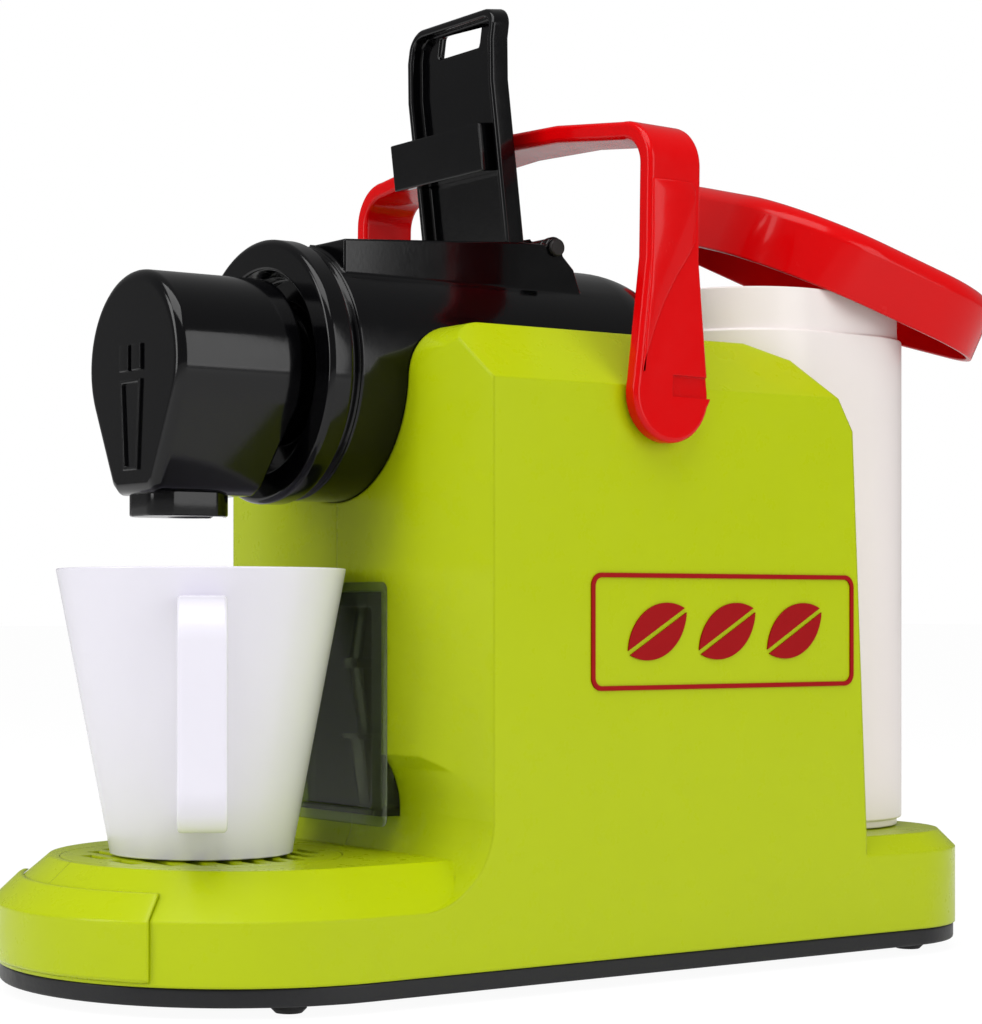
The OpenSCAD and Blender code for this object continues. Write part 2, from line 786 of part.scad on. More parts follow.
module lever() {
    h = lever_reach;
    color("red") difference() {
        lean_lever() {
            // bow, seen from the front, with round outer corners and a crowned bar
            along_y(-strap_w / 2, strap_w / 2) {
                e = arm_x - lever_corner;
                r = lever_corner - strap_t;
                for (s = [-1, 1]) {
                    translate([s > 0 ? strap_x : -arm_x, 0]) square([strap_t, h - lever_corner]);
                    intersection() {
                        translate([s * e, h - lever_corner]) difference() {
                            circle(lever_corner);
                            circle(r);
                        }
                        translate([s > 0 ? e : -e - 20, h - lever_corner]) square([20, 20]);
                    }
                }
                polygon([[-e, h], [-e / 2, h + bar_crown * 0.75], [0, h + bar_crown], [e / 2, h + bar_crown * 0.75], [e, h],
                    [e, h - strap_t], [e / 2, h + bar_crown * 0.75 - strap_t], [0, h + bar_crown - strap_t],
                    [-e / 2, h + bar_crown * 0.75 - strap_t], [-e, h - strap_t]]);
            }
            // widened arm ends with their discs
            for (s = [-1, 1]) translate([s * (strap_x + strap_t / 2), 0, 0]) along_x(strap_t) {
                circle(disc_r);
                polygon([[-disc_r, 0], [disc_r, 0], [strap_w / 2, 32], [-strap_w / 2, 32]]);
            }
        }
        bar_x(pivot_y, pivot_z, shaft_d + 2 * fit, -arm_x + 1.4, arm_x - 1.4);
        // blind slot at the rear of each disc
        lean_lever() for (s = [-1, 1]) translate([s > 0 ? arm_x - 1.2 : -arm_x - 1, 0, 0])
            translate([0, 0, -0.5]) cube([2.2, disc_r + 3, 5]);
    }
}

module lever_shaft() {
    e = arm_x - 1.5;
    color("silver") bar_x(pivot_y, pivot_z, shaft_d, -e, e);
}

module lever_switch() {
    color("dimgray") translate([-half_w + wall + fit, pivot_y + 8, pivot_z - 24]) {
        cube([7, 20, 10]);
        translate([3.5, 6, 10 - eps]) cylinder(d = 3, h = 3);
    }
}

// ---------------------------------------------------------------- hydraulics

pump_y = 9.5;
pump_z = 46;
hose_x = 7;
hose_y = -43.5;
hose_z = bin_z1 + 4;

module pump_housing() {
    rest_z = box_z + 20 + eps;
    color("gray") difference() {
        union() {
            // saddle on the battery box
            translate([-26, pump_y - 8, rest_z]) cube([38, 16, pump_z - 8 - rest_z]);
            translate([-4, pump_y, pump_z]) rotate([0, 90, 0]) cylinder(d = 30, h = 18);
            translate([0, pump_y + 10, pump_z - 4]) rotate([-90, 0, 0]) cylinder(d = 7, h = 9.2);
            translate([7, pump_y - 10, pump_z + 8]) cylinder(d = 7, h = 14);
        }
        translate([2, pump_y, pump_z]) rotate([0, 90, 0]) cylinder(d = 26, h = 10);
        bar_x(pump_y, pump_z, 21 + 2 * fit, -30, 0);
        bar_x(pump_y, pump_z, 2 + 2 * fit, -1, 9);
    }
}

module pump_motor() {
    color("silver") {
        translate([-28 - eps, pump_y, pump_z]) rotate([0, 90, 0]) cylinder(d = 21, h = 28);
        translate([-eps, pump_y, pump_z]) rotate([0, 90, 0]) cylinder(d = 2, h = 8);
    }
}

// A quarter bend of a hose in the centre plane, about [y, z], from a turn of a degrees.
module bend(y, z, r, d, a) {
    translate([0, y, z]) rotate([90, 0, 90]) rotate([0, 0, a])
        rotate_extrude(angle = 90) translate([r, 0]) circle(d = d);
}

module inlet_hose() {
    d = 5;
    r = 4;
    y0 = pump_y + 23.5;
    z0 = socket_z - 6;
    z1 = pump_z - 4;
    color("white") {
        bend(y0 - r, z1 - r, r, d, 0);
        translate([0, y0, z0 + r]) cylinder(d = d, h = z1 - z0 - 2 * r);
        bend(y0 + r, z0 + r, r, d, 180);
        translate([0, y0 + r, z0]) rotate([-90, 0, 0]) cylinder(d = d, h = outlet_y - y0 - 2 * r);
        bend(outlet_y - r, z0 + r, r, d, 270);
        translate([0, outlet_y, z0 + r]) cylinder(d = d, h = socket_z - 2 * eps - z0 - r);
    }
}

module outlet_hose() {
    y0 = pump_y - 10;
    color("white") {
        translate([hose_x, y0, pump_z + 22]) cylinder(d = 6, h = hose_z - pump_z - 22);
        translate([hose_x, y0, hose_z]) sphere(d = 6);
        translate([hose_x, y0, hose_z]) rotate([90, 0, 0]) cylinder(d = 6, h = y0 - hose_y);
        translate([hose_x, hose_y, hose_z]) sphere(d = 6);
        translate([hose_x, hose_y, hose_z]) cylinder(d = 6, h = barrel_z - 27.6 - hose_z);
    }
}

socket_z = 19;

// Cup in the deck that takes the tank's outlet.
module tank_socket() {
    color("gray") translate([0, outlet_y, socket_z]) difference() {
        cylinder(r = outlet_r + 1.2 - fit, h = deck_z - socket_z - 0.2);
        translate([0, 0, 2]) cylinder(r = outlet_r, h = 20);
        translate([0, 0, -1]) cylinder(r = 2, h = 4);
    }
}

// ------------------------------------------------------------ tank and lid

module tank_plan(g) {
    round_rect(-tank_half - g, tank_front_y - g, tank_half + g, tank_rear_y + g, tank_r + g);
}

tank_z = deck_z + gap;

module tank() {
    rim_in = 1.2;
    color("white") difference() {
        union() {
            translate([0, 0, tank_z + 2]) linear_extrude(shoulder_z - tank_z - 2) tank_plan(0);
            translate([0, 0, tank_z]) linear_extrude(2 + eps) tank_plan(-1.2);
            translate([0, 0, shoulder_z - eps]) linear_extrude(rim_z - shoulder_z) tank_plan(-rim_in);
        }
        translate([0, 0, tank_z + tank_wall]) linear_extrude(big) tank_plan(-rim_in - tank_wall);
        translate([0, outlet_y, tank_z - 1]) cylinder(r = outlet_r - 2, h = 9);
    }
}

module tank_outlet() {
    color("lightgray") translate([0, outlet_y, 0]) difference() {
        union() {
            translate([0, 0, tank_z - 8]) cylinder(r = outlet_r - 2.1, h = 9 + tank_wall);
            translate([0, 0, tank_z + tank_wall + eps]) cylinder(r = outlet_r, h = 1.6);
            translate([0, 0, tank_z - 5.4]) cylinder(r = outlet_r - 0.6, h = 1.4);
            translate([0, 0, tank_z - 2.2]) cylinder(r = outlet_r - 0.6, h = 1.4);
        }
        translate([0, 0, tank_z - 9]) cylinder(r = 3, h = 20);
    }
}

module tank_seal() {
    color("black") translate([0, outlet_y, tank_z - 3.1]) rotate_extrude()
        translate([outlet_r - 1.12, 0]) circle(0.9, $fn = 32);
}

module tank_filter() {
    color("gainsboro") translate([0, outlet_y, tank_z + tank_wall + 1.6 + 2 * eps]) difference() {
        cylinder(r = outlet_r - 0.6, h = 5);
        translate([0, 0, -1]) cylinder(r = outlet_r - 2, h = 4.8);
        for (i = [0:5]) rotate([0, 0, i * 30]) translate([-10, -0.7, -1]) cube([20, 1.4, 4]);
    }
}

lid_w = 3.2;                       // how far the lid stands out from the tank

// Lid drawn level, with the underside of its plate at z = 0 and its plan
// centred on the tank's, then laid askew on the rim.
module lid_pose() {
    skirt = lid_h - 4.5;
    translate([lid_x, lid_rest_y, lid_rest_z]) rotate([0, 0, -lid_turn]) rotate([-lid_tilt, 0, 0])
        rotate([0, lid_roll, 0]) translate([0, -(tank_front_y + tank_rear_y) / 2, skirt]) children();
}

lid_x = 4.6;
lid_rest_y = (tank_front_y + tank_rear_y) / 2 + 23.2;
lid_rest_z = rim_z + 2.9;

module tank_lid() {
    skirt = lid_h - 4.5;
    color("red") lid_pose() difference() {
        union() {
            translate([0, 0, -skirt]) linear_extrude(skirt + 1.8) tank_plan(lid_w);
            translate([0, 0, 1.8 - eps]) linear_extrude(1 + eps) tank_plan(lid_w - 1);
            translate([0, 0, 2.8 - eps]) linear_extrude(1 + eps) tank_plan(lid_w - 2.6);
            translate([0, 0, 3.8 - eps]) linear_extrude(0.7 + eps) tank_plan(lid_w - 5);
        }
        translate([0, 0, -skirt - 1]) linear_extrude(skirt + 1) tank_plan(lid_w - 1.5);
    }
}

// ----------------------------------------------------------------- the cup

module cup() {
    hr = 19;
    color("lavender", 0.6) translate([0, cup_y, cup_z]) {
        rotate_extrude() polygon([
            [0, 1.6], [cup_foot_r - 3, 1.6], [cup_foot_r - 2.6, 0], [cup_foot_r - 0.8, 0],
            [cup_foot_r, 0.8], [cup_rim_r, cup_h - 0.5], [cup_rim_r - 0.5, cup_h],
            [cup_rim_r - cup_wall + 0.4, cup_h], [cup_rim_r - cup_wall, cup_h - 0.5],
            [cup_foot_r - cup_wall, 3.6], [0, 3.6]]);
        // strap handle towards the front right
        rotate([0, 0, -30]) difference() {
            translate([0, 5.5, 0]) rotate([90, 0, 0]) linear_extrude(11) difference() {
                union() {
                    translate([cup_foot_r + 3, 8]) square([18, 52]);
                    translate([cup_foot_r + 21, 18]) square([8, 32]);
                    translate([cup_foot_r + 19, 18]) circle(10);
                    translate([cup_foot_r + 19, 50]) circle(10);
                }
                union() {
                    translate([cup_foot_r + 1, 11]) square([18, 46]);
                    translate([cup_foot_r + 17, 18]) square([9, 32]);
                    translate([cup_foot_r + 19, 18]) circle(7);
                    translate([cup_foot_r + 19, 50]) circle(7);
                }
            }
            cylinder(r1 = cup_foot_r - 1.2, r2 = cup_rim_r - 1.2, h = cup_h);
        }
    }
}

// ------------------------------------------------------------- capsule bin

module bin_flange() {
    color("darkgray") difference() {
        along_y(tower_front_y - 1.4, tower_front_y - eps)
            round_rect(-bin_half, bin_z0, bin_half, bin_z1, 2);
        along_y(tower_front_y - 9, tower_front_y + 9)
            round_rect(-bin_half + 5, bin_z0 + 4, bin_half - 5, bin_z1 - 6, 1.5);
    }
}

bin_d = 34;

module capsule_bin() {
    x = bin_half - 2.4;
    color("silver", 0.5) difference() {
        translate([-x, tower_front_y, bin_z0 + 2.4]) cube([2 * x, bin_d, bin_z1 - bin_z0 - 4.8]);
        translate([-x + 1.6, tower_front_y + 1.6, bin_z0 + 4])
            cube([2 * x - 3.2, bin_d - 3.2, big]);
    }
}

// A spent capsule: a tapered pot with a wide rim.
module capsule() {
    cylinder(r1 = 7.6, r2 = 10, h = 16);
    translate([0, 0, 16 - eps]) cylinder(r = 12, h = 1.2);
}

module capsules() {
    z0 = bin_z0 + 4 + eps;
    y = tower_front_y + 16;
    color("dimgray") {
        translate([0, y, z0]) capsule();
        translate([0, y, z0 + 17.2]) capsule();
        translate([0, y, z0 + 34.4 + 17.2]) rotate([180, 0, 0]) capsule();
    }
}

// --------------------------------------------------------------- side trim

frame_y0 = -19.5;
frame_y1 = 64.5;
frame_z0 = 69.5;
frame_z1 = 97;

// Thin outline frame with a row of three beans.
module side_frame(s) {
    color("red") translate([s > 0 ? half_w + 0.02 : -half_w - 0.42, 0, 0]) rotate([90, 0, 90]) linear_extrude(0.4) {
        difference() {
            round_rect(frame_y0, frame_z0, frame_y1, frame_z1, 3);
            round_rect(frame_y0 + 1.1, frame_z0 + 1.1, frame_y1 - 1.1, frame_z1 - 1.1, 2);
        }
        for (i = [-1:1]) translate([(frame_y0 + frame_y1) / 2 + i * 22, (frame_z0 + frame_z1) / 2])
            rotate(30) bean();
    }
}

module bean() {
    difference() {
        intersection() {
            translate([0, 6]) circle(12);
            translate([0, -6]) circle(12);
        }
        translate([-14, -0.6]) square([28, 1.2]);
    }
}

module side_frame_right() { side_frame(1); }
module side_frame_left() { side_frame(-1); }

// Stands the origin under the middle of the whole.
translate([0, -middle_y, 0]) {
    body_right();
    body_left();
    nose_bumper();
    base_pan();
    feet();
    drip_grate();
    drip_tray();
    battery_box();
    batteries();
    battery_contacts();
    battery_door();
    door_screw();
    body_screws();
    barrel();
    collar();
    head_upper();
    head_lower();
    head_relief();
    nozzle();
    spout_tube();
    capsule_holder();
    pierce_needle();
    flap();
    flap_plug();
    hinge_pin();
    lever();
    lever_shaft();
    lever_switch();
    pump_housing();
    pump_motor();
    inlet_hose();
    outlet_hose();
    tank();
    tank_outlet();
    tank_seal();
    tank_filter();
    tank_socket();
    tank_lid();
    cup();
    capsule_bin();
    bin_flange();
    capsules();
    side_frame_right();
    side_frame_left();
}
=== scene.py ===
"""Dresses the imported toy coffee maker: finishes, modelled pieces, studio and camera."""

import json
import logging
import math
from dataclasses import dataclass, field
from enum import Enum
from typing import Callable, Iterable

import bmesh
import bpy
from mathutils import Matrix, Vector

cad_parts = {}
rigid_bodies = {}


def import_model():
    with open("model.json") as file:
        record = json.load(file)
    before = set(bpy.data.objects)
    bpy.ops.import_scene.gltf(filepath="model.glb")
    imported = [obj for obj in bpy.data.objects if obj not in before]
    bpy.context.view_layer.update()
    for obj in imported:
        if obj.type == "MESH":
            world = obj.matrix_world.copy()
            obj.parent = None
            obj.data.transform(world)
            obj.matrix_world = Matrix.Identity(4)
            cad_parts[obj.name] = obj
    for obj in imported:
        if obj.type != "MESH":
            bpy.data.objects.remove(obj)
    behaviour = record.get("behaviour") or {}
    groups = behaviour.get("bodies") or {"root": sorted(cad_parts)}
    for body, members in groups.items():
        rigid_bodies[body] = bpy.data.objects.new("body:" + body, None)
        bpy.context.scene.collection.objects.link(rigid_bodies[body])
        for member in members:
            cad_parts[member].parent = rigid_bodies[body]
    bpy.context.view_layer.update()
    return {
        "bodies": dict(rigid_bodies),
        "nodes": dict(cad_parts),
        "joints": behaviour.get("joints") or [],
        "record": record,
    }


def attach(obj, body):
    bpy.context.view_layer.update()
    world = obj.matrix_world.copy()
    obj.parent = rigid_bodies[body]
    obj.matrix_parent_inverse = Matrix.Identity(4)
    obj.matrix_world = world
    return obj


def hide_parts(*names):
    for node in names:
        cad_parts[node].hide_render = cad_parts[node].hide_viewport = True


LOG = logging.getLogger("coffee_maker")
MM = 0.001
TINY = 1e-5
Colour = tuple[float, float, float]
Place = tuple[float, float, float]
Outline = list[tuple[float, float]]


class Body(str, Enum):
    """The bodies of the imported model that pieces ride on."""

    BASE = "base"
    LEVER = "lever_arm"
    FLAP = "flap"
    TANK = "tank"
    LID = "lid"
    CUP = "cup"


# ---------------------------------------------------------------- finishes


@dataclass
class Graph:
    """A short way to write a node tree."""

    tree: bpy.types.NodeTree

    @classmethod
    def of(cls, owner: bpy.types.Material | bpy.types.World) -> "Graph":
        """Starts an empty graph.

        Args:
            owner: the material or the world that is given nodes.

        Returns:
            Its graph.
        """
        owner.use_nodes = True
        owner.node_tree.nodes.clear()
        return cls(owner.node_tree)

    def node(self, kind: str, **values: object) -> bpy.types.Node:
        """Adds a node.

        Args:
            kind: the node's type without the ShaderNode prefix.
            values: attributes, or inputs where the name is an input's with _ for a blank.

        Returns:
            The new node.
        """
        made = self.tree.nodes.new("ShaderNode" + kind)
        for key, value in values.items():
            label = key.replace("_", " ")
            if label in made.inputs:
                made.inputs[label].default_value = value
            else:
                setattr(made, key, value)
        return made

    def link(self, source: bpy.types.NodeSocket, target: bpy.types.NodeSocket) -> None:
        """Joins two sockets."""
        self.tree.links.new(source, target)

    def ramp(
        self, fac: bpy.types.NodeSocket, span: tuple[float, float], result: tuple[float, float]
    ) -> bpy.types.NodeSocket:
        """Maps a value from one span to another.

        Args:
            fac: the value.
            span: start and end of its span.
            result: result at the start and at the end.

        Returns:
            The socket with the result.
        """
        spread = self.node("MapRange")
        spread.inputs["From Min"].default_value, spread.inputs["From Max"].default_value = span
        spread.inputs["To Min"].default_value, spread.inputs["To Max"].default_value = result
        self.link(fac, spread.inputs["Value"])
        return spread.outputs["Result"]


@dataclass(frozen=True)
class Finish:
    """A moulded or turned surface, with its grain, flow marks and uneven gloss.

    Attributes:
        name: the material's name.
        tint: its colour.
        roughness: its mean roughness.
        haze: how far the roughness varies.
        shade: how far the colour varies.
        grain: scale of the fine texture.
        grain_depth: strength of the fine texture.
        flow: scale of the flow marks.
        flow_depth: strength of the flow marks.
        edge: radius of the rounding that the shading gives to edges, in metres.
        coat: weight of the clear coat.
        metallic: 1 for metal.
        clear: share of light that passes through.
        ior: refractive index.
        specular: strength of the reflection.
    """

    name: str
    tint: Colour
    roughness: float = 0.3
    haze: float = 0.06
    shade: float = 0.05
    grain: float = 900.0
    grain_depth: float = 0.012
    flow: float = 14.0
    flow_depth: float = 0.15
    edge: float = 0.0006
    coat: float = 0.0
    metallic: float = 0.0
    clear: float = 0.0
    ior: float = 1.5
    specular: float = 0.5

    def material(self) -> bpy.types.Material:
        """Builds the node material.

        Returns:
            The material, made once and then shared.
        """
        found = bpy.data.materials.get(self.name)
        if found:
            return found
        made = bpy.data.materials.new(self.name)
        graph = Graph.of(made)
        out = graph.node("OutputMaterial")
        skin = graph.node("BsdfPrincipled", Metallic=self.metallic, IOR=self.ior)
        skin.inputs["Specular IOR Level"].default_value = self.specular
        skin.inputs["Coat Weight"].default_value = self.coat
        skin.inputs["Coat Roughness"].default_value = 0.08
        skin.inputs["Transmission Weight"].default_value = self.clear
        graph.link(skin.outputs[0], out.inputs["Surface"])
        place = graph.node("TexCoord").outputs["Object"]
        mottle = graph.node("TexNoise", Scale=self.flow * 3, Detail=3.0)
        graph.link(place, mottle.inputs["Vector"])
        colour = graph.node("MixRGB", blend_type="MIX")
        dark = tuple(c * (1 - self.shade) for c in self.tint)
        light = tuple(min(1.0, c * (1 + self.shade)) for c in self.tint)
        colour.inputs["Color1"].default_value = (*dark, 1)
        colour.inputs["Color2"].default_value = (*light, 1)
        graph.link(mottle.outputs["Fac"], colour.inputs["Fac"])
        graph.link(colour.outputs["Color"], skin.inputs["Base Color"])
        smear = graph.node("TexNoise", Scale=self.flow * 11, Detail=5.0, Roughness=0.65)
        graph.link(place, smear.inputs["Vector"])
        gloss = (max(0.02, self.roughness - self.haze), self.roughness + self.haze)
        graph.link(graph.ramp(smear.outputs["Fac"], (0.3, 0.7), gloss), skin.inputs["Roughness"])
        wave = graph.node("TexNoise", Scale=self.flow, Detail=1.0)
        graph.link(place, wave.inputs["Vector"])
        grain = graph.node("TexNoise", Scale=self.grain, Detail=2.0)
        graph.link(place, grain.inputs["Vector"])
        slow = graph.node("Bump", Distance=0.001, Strength=self.flow_depth)
        graph.link(wave.outputs["Fac"], slow.inputs["Height"])
        if self.edge > 0:
            round_off = graph.node("Bevel", Radius=self.edge, samples=8)
            graph.link(round_off.outputs["Normal"], slow.inputs["Normal"])
        fine = graph.node("Bump", Distance=0.001, Strength=self.grain_depth)
        graph.link(grain.outputs["Fac"], fine.inputs["Height"])
        graph.link(slow.outputs["Normal"], fine.inputs["Normal"])
        graph.link(fine.outputs["Normal"], skin.inputs["Normal"])
        return made


LIME = Finish(
    "lime_moulding",
    (0.41, 0.50, 0.002),
    coat=0.16,
    flow_depth=0.12,
    specular=0.12,
    shade=0.02,
    edge=0.0011,
)
RED = Finish(
    "red_moulding", (0.60, 0.0, 0.001), roughness=0.22, coat=0.2, flow_depth=0.14, specular=0.1, shade=0.03
)
GLOSS_BLACK = Finish(
    "gloss_black_moulding",
    (0.001, 0.001, 0.0014),
    roughness=0.14,
    haze=0.04,
    coat=0.35,
    flow_depth=0.14,
    specular=0.15,
)
SATIN_BLACK = Finish("satin_black_moulding", (0.01, 0.01, 0.012), roughness=0.42, grain_depth=0.05, specular=0.3)
RUBBER = Finish("rubber_foot", (0.018, 0.018, 0.018), roughness=0.6, grain_depth=0.08)
MILKY = Finish(
    "milky_moulding",
    (0.78, 0.72, 0.70),
    roughness=0.36,
    coat=0.1,
    haze=0.03,
    shade=0.03,
    edge=0.0,
    specular=0.35,
)
CUP_WHITE = Finish(
    "cup_moulding",
    (0.74, 0.72, 0.80),
    roughness=0.24,
    coat=0.15,
    haze=0.02,
    shade=0.02,
    edge=0.0,
    specular=0.4,
)
SMOKE = Finish(
    "smoked_window",
    (0.50, 0.55, 0.42),
    roughness=0.04,
    haze=0.01,
    clear=0.96,
    coat=0.1,
    grain_depth=0.0,
    flow_depth=0.0,
    ior=1.12,
    edge=0.0,
)
STEEL = Finish("plated_steel", (0.62, 0.62, 0.64), roughness=0.25, metallic=1.0, edge=0.0002)
NICKEL = Finish("nickel_pin", (0.16, 0.13, 0.11), roughness=0.35, metallic=1.0, edge=0.0002)
CELL = Finish("cell_wrap", (0.05, 0.12, 0.32), coat=0.4)
GREY = Finish("grey_moulding", (0.18, 0.18, 0.19), roughness=0.4)
HOSE = Finish("hose_clear", (0.8, 0.82, 0.8), roughness=0.2, clear=0.6)
CAPSULE = Finish("capsule_foil", (0.035, 0.022, 0.018), roughness=0.22, coat=0.5)
PRINT = Finish(
    "red_ink", (0.30, 0.0, 0.002), roughness=0.5, specular=0.12, grain=2500, grain_depth=0.03, edge=0.0001
)
DARK_PIN = Finish("dark_pin", (0.02, 0.018, 0.018), roughness=0.35, coat=0.1, specular=0.2)

FINISH_OF_SLOT: dict[str, Finish] = {
    "lime_plastic": LIME,
    "red_plastic": RED,
    "black_gloss": GLOSS_BLACK,
    "black_satin": SATIN_BLACK,
    "rubber_black": RUBBER,
    "clear_smoke": SMOKE,
    "milky_white": MILKY,
    "cup_white": CUP_WHITE,
    "steel": STEEL,
    "nickel_pin": NICKEL,
    "cell_wrap": CELL,
    "grey_plastic": GREY,
    "hose_clear": HOSE,
    "capsule_brown": CAPSULE,
    "red_print": PRINT,
}


# ---------------------------------------------------------------- shop tools


class Bench:
    """Selection and modelling moves shared by the sub-assemblies."""

    frame: dict = {}

    @staticmethod
    def clear() -> None:
        """Leaves edit mode and deselects every object."""
        if bpy.context.object and bpy.context.object.mode != "OBJECT":
            bpy.ops.object.mode_set(mode="OBJECT")
        bpy.ops.object.select_all(action="DESELECT")

    @staticmethod
    def take(piece: bpy.types.Object) -> None:
        """Makes a piece the only selected and active object.

        Args:
            piece: the object to work on.
        """
        Bench.clear()
        piece.select_set(True)
        bpy.context.view_layer.objects.active = piece

    @staticmethod
    def apply_all(piece: bpy.types.Object) -> None:
        """Applies every modifier of a piece."""
        Bench.take(piece)
        for modifier in list(piece.modifiers):
            bpy.ops.object.modifier_apply(modifier=modifier.name)

    @staticmethod
    def plain_copy(node: str, name: str) -> bpy.types.Object:
        """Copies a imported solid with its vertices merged.

        Args:
            node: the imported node.
            name: the new piece's name.

        Returns:
            The copy, in object mode.
        """
        source = Bench.frame["nodes"][node]
        copy = source.copy()
        copy.data = source.data.copy()
        copy.name = name
        copy.parent = None
        for key in [k for k in copy.keys()]:
            del copy[key]
        bpy.context.scene.collection.objects.link(copy)
        Bench.open_all(copy)
        bpy.ops.mesh.remove_doubles(threshold=1e-6)
        bpy.ops.mesh.customdata_custom_splitnormals_clear()
        bpy.ops.object.mode_set(mode="OBJECT")
        return copy

    @staticmethod
    def open_all(piece: bpy.types.Object) -> None:
        """Opens a piece for editing with all of it selected.

        Args:
            piece: the object to edit.
        """
        Bench.take(piece)
        bpy.ops.object.mode_set(mode="EDIT")
        bpy.ops.mesh.select_all(action="SELECT")

    @staticmethod
    def soften(piece: bpy.types.Object, width: float, segments: int, angle: float = 30.0, smooth: float = 40.0) -> None:
        """Rounds the edges of a piece and shades it.

        Args:
            piece: the piece.
            width: width of the rounding in millimetres.
            segments: steps across the rounding.
            angle: least angle between faces that is rounded, in degrees.
            smooth: widest angle that is shaded as one surface, in degrees.
        """
        if bpy.context.object.mode != "OBJECT":
            bpy.ops.object.mode_set(mode="OBJECT")
        soft = piece.modifiers.new("soft", "BEVEL")
        soft.width = width * MM
        soft.segments = segments
        soft.angle_limit = math.radians(angle)
        Bench.finish_shading(piece, smooth)

    @staticmethod
    def finish_shading(piece: bpy.types.Object, smooth: float = 40.0) -> None:
        """Applies the modifiers and shades broad faces flat into their roundings.

        Args:
            piece: the piece.
            smooth: widest angle that is shaded as one surface, in degrees.
        """
        Bench.apply_all(piece)
        bpy.ops.object.shade_smooth_by_angle(angle=math.radians(smooth))
        weigh = piece.modifiers.new("broad_faces", "WEIGHTED_NORMAL")
        weigh.mode = "FACE_AREA"
        weigh.weight = 60
        weigh.keep_sharp = True
        Bench.apply_all(piece)

    @staticmethod
    def pick_faces(test: Callable[[Vector, Vector], bool]) -> None:
        """Selects the faces of the piece in edit mode whose middle and normal pass a test.

        Args:
            test: takes a face's middle and its normal.
        """
        bpy.ops.mesh.select_mode(type="FACE")
        bpy.ops.mesh.select_all(action="DESELECT")
        mesh = bmesh.from_edit_mesh(bpy.context.object.data)
        for face in mesh.faces:
            if test(face.calc_center_median(), face.normal):
                face.select_set(True)
        bmesh.update_edit_mesh(bpy.context.object.data)

    @staticmethod
    def pick_edges(test: Callable[[Vector, Vector], bool]) -> None:
        """Selects the edges of the piece in edit mode whose two ends pass a test.

        Args:
            test: takes the two ends of an edge.
        """
        bpy.ops.mesh.select_mode(type="EDGE")
        bpy.ops.mesh.select_all(action="DESELECT")
        mesh = bmesh.from_edit_mesh(bpy.context.object.data)
        for edge in mesh.edges:
            if test(edge.verts[0].co, edge.verts[1].co):
                edge.select_set(True)
        bmesh.update_edit_mesh(bpy.context.object.data)

    @staticmethod
    def prism(name: str, outline: Outline, y0: float, y1: float) -> bpy.types.Object:
        """Raises a prism towards +Y from an outline in X and Z and opens it for editing.

        Args:
            name: the piece's name.
            outline: corners in millimetres, in order.
            y0: front face's y.
            y1: rear face's y.

        Returns:
            The piece, in edit mode.
        """
        Bench.clear()
        bpy.ops.mesh.primitive_circle_add(vertices=len(outline), radius=0.01, fill_type="NGON")
        piece = bpy.context.object
        piece.name = name
        for vertex, (x, z) in zip(piece.data.vertices, outline):
            vertex.co = Vector((x, y0, z)) * MM
        bpy.ops.object.mode_set(mode="EDIT")
        bpy.ops.mesh.select_all(action="SELECT")
        bpy.ops.mesh.extrude_region_move(TRANSFORM_OT_translate={"value": (0, (y1 - y0) * MM, 0)})
        bpy.ops.mesh.select_all(action="SELECT")
        bpy.ops.mesh.normals_make_consistent(inside=False)
        return piece

    @staticmethod
    def block(name: str, low: Place, high: Place) -> bpy.types.Object:
        """Adds a block between two corners and opens it for editing.

        Args:
            name: the piece's name.
            low: lowest corner in millimetres.
            high: highest corner in millimetres.

        Returns:
            The piece, in edit mode, all selected.
        """
        Bench.clear()
        middle = [(a + b) / 2 * MM for a, b in zip(low, high)]
        size = [(b - a) * MM for a, b in zip(low, high)]
        bpy.ops.mesh.primitive_cube_add(size=1.0, location=middle, scale=size)
        piece = bpy.context.object
        piece.name = name
        bpy.ops.object.transform_apply(location=True, rotation=True, scale=True)
        bpy.ops.object.mode_set(mode="EDIT")
        return piece

    @staticmethod
    def dress(piece: bpy.types.Object, finish: Finish) -> None:
        """Gives a piece its one finish."""
        piece.data.materials.clear()
        piece.data.materials.append(finish.material())

    @staticmethod
    def seat(piece: bpy.types.Object, body: Body, slot: str, *nodes: str) -> None:
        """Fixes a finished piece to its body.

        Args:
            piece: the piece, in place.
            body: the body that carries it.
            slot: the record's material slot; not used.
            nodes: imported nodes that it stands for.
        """
        Bench.clear()
        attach(piece, body.value)
        if nodes:
            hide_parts(*nodes)
        LOG.info("piece %s rides on %s", piece.name, body.value)


# ---------------------------------------------------------------- sub-assemblies


class PackedNodes:
    """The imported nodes, which show as they are where no modelled piece stands for them."""

    @staticmethod
    def dress() -> None:
        """Assigns the finish of each node's material slot."""
        for part in Bench.frame["record"]["subparts"]:
            node = Bench.frame["nodes"][part["node"]]
            finish = FINISH_OF_SLOT[part["material_slot"]].material()
            for index in range(len(node.data.materials)):
                node.data.materials[index] = finish
            if not node.data.materials:
                node.data.materials.append(finish)
            LOG.info("node %s dressed as %s", part["node"], finish.name)


@dataclass(frozen=True)
class Rounding:
    """How one packed shell is rounded.

    Attributes:
        node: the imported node.
        width: width of the rounding in millimetres.
        segments: steps across the rounding.
        crisp: two corners in millimetres, mirrored in x, whose edges stay crisp.
        stretch: how much the copy is scaled about its middle.
        finish: a finish other than that of its slot.
    """

    node: str
    width: float
    segments: int = 3
    crisp: tuple[Place, Place] | None = None
    stretch: Place | None = None
    finish: Finish | None = None


LEVER_SLOT = ((60.0, -4.2, 136.2), (63.0, 14.0, 145.9))


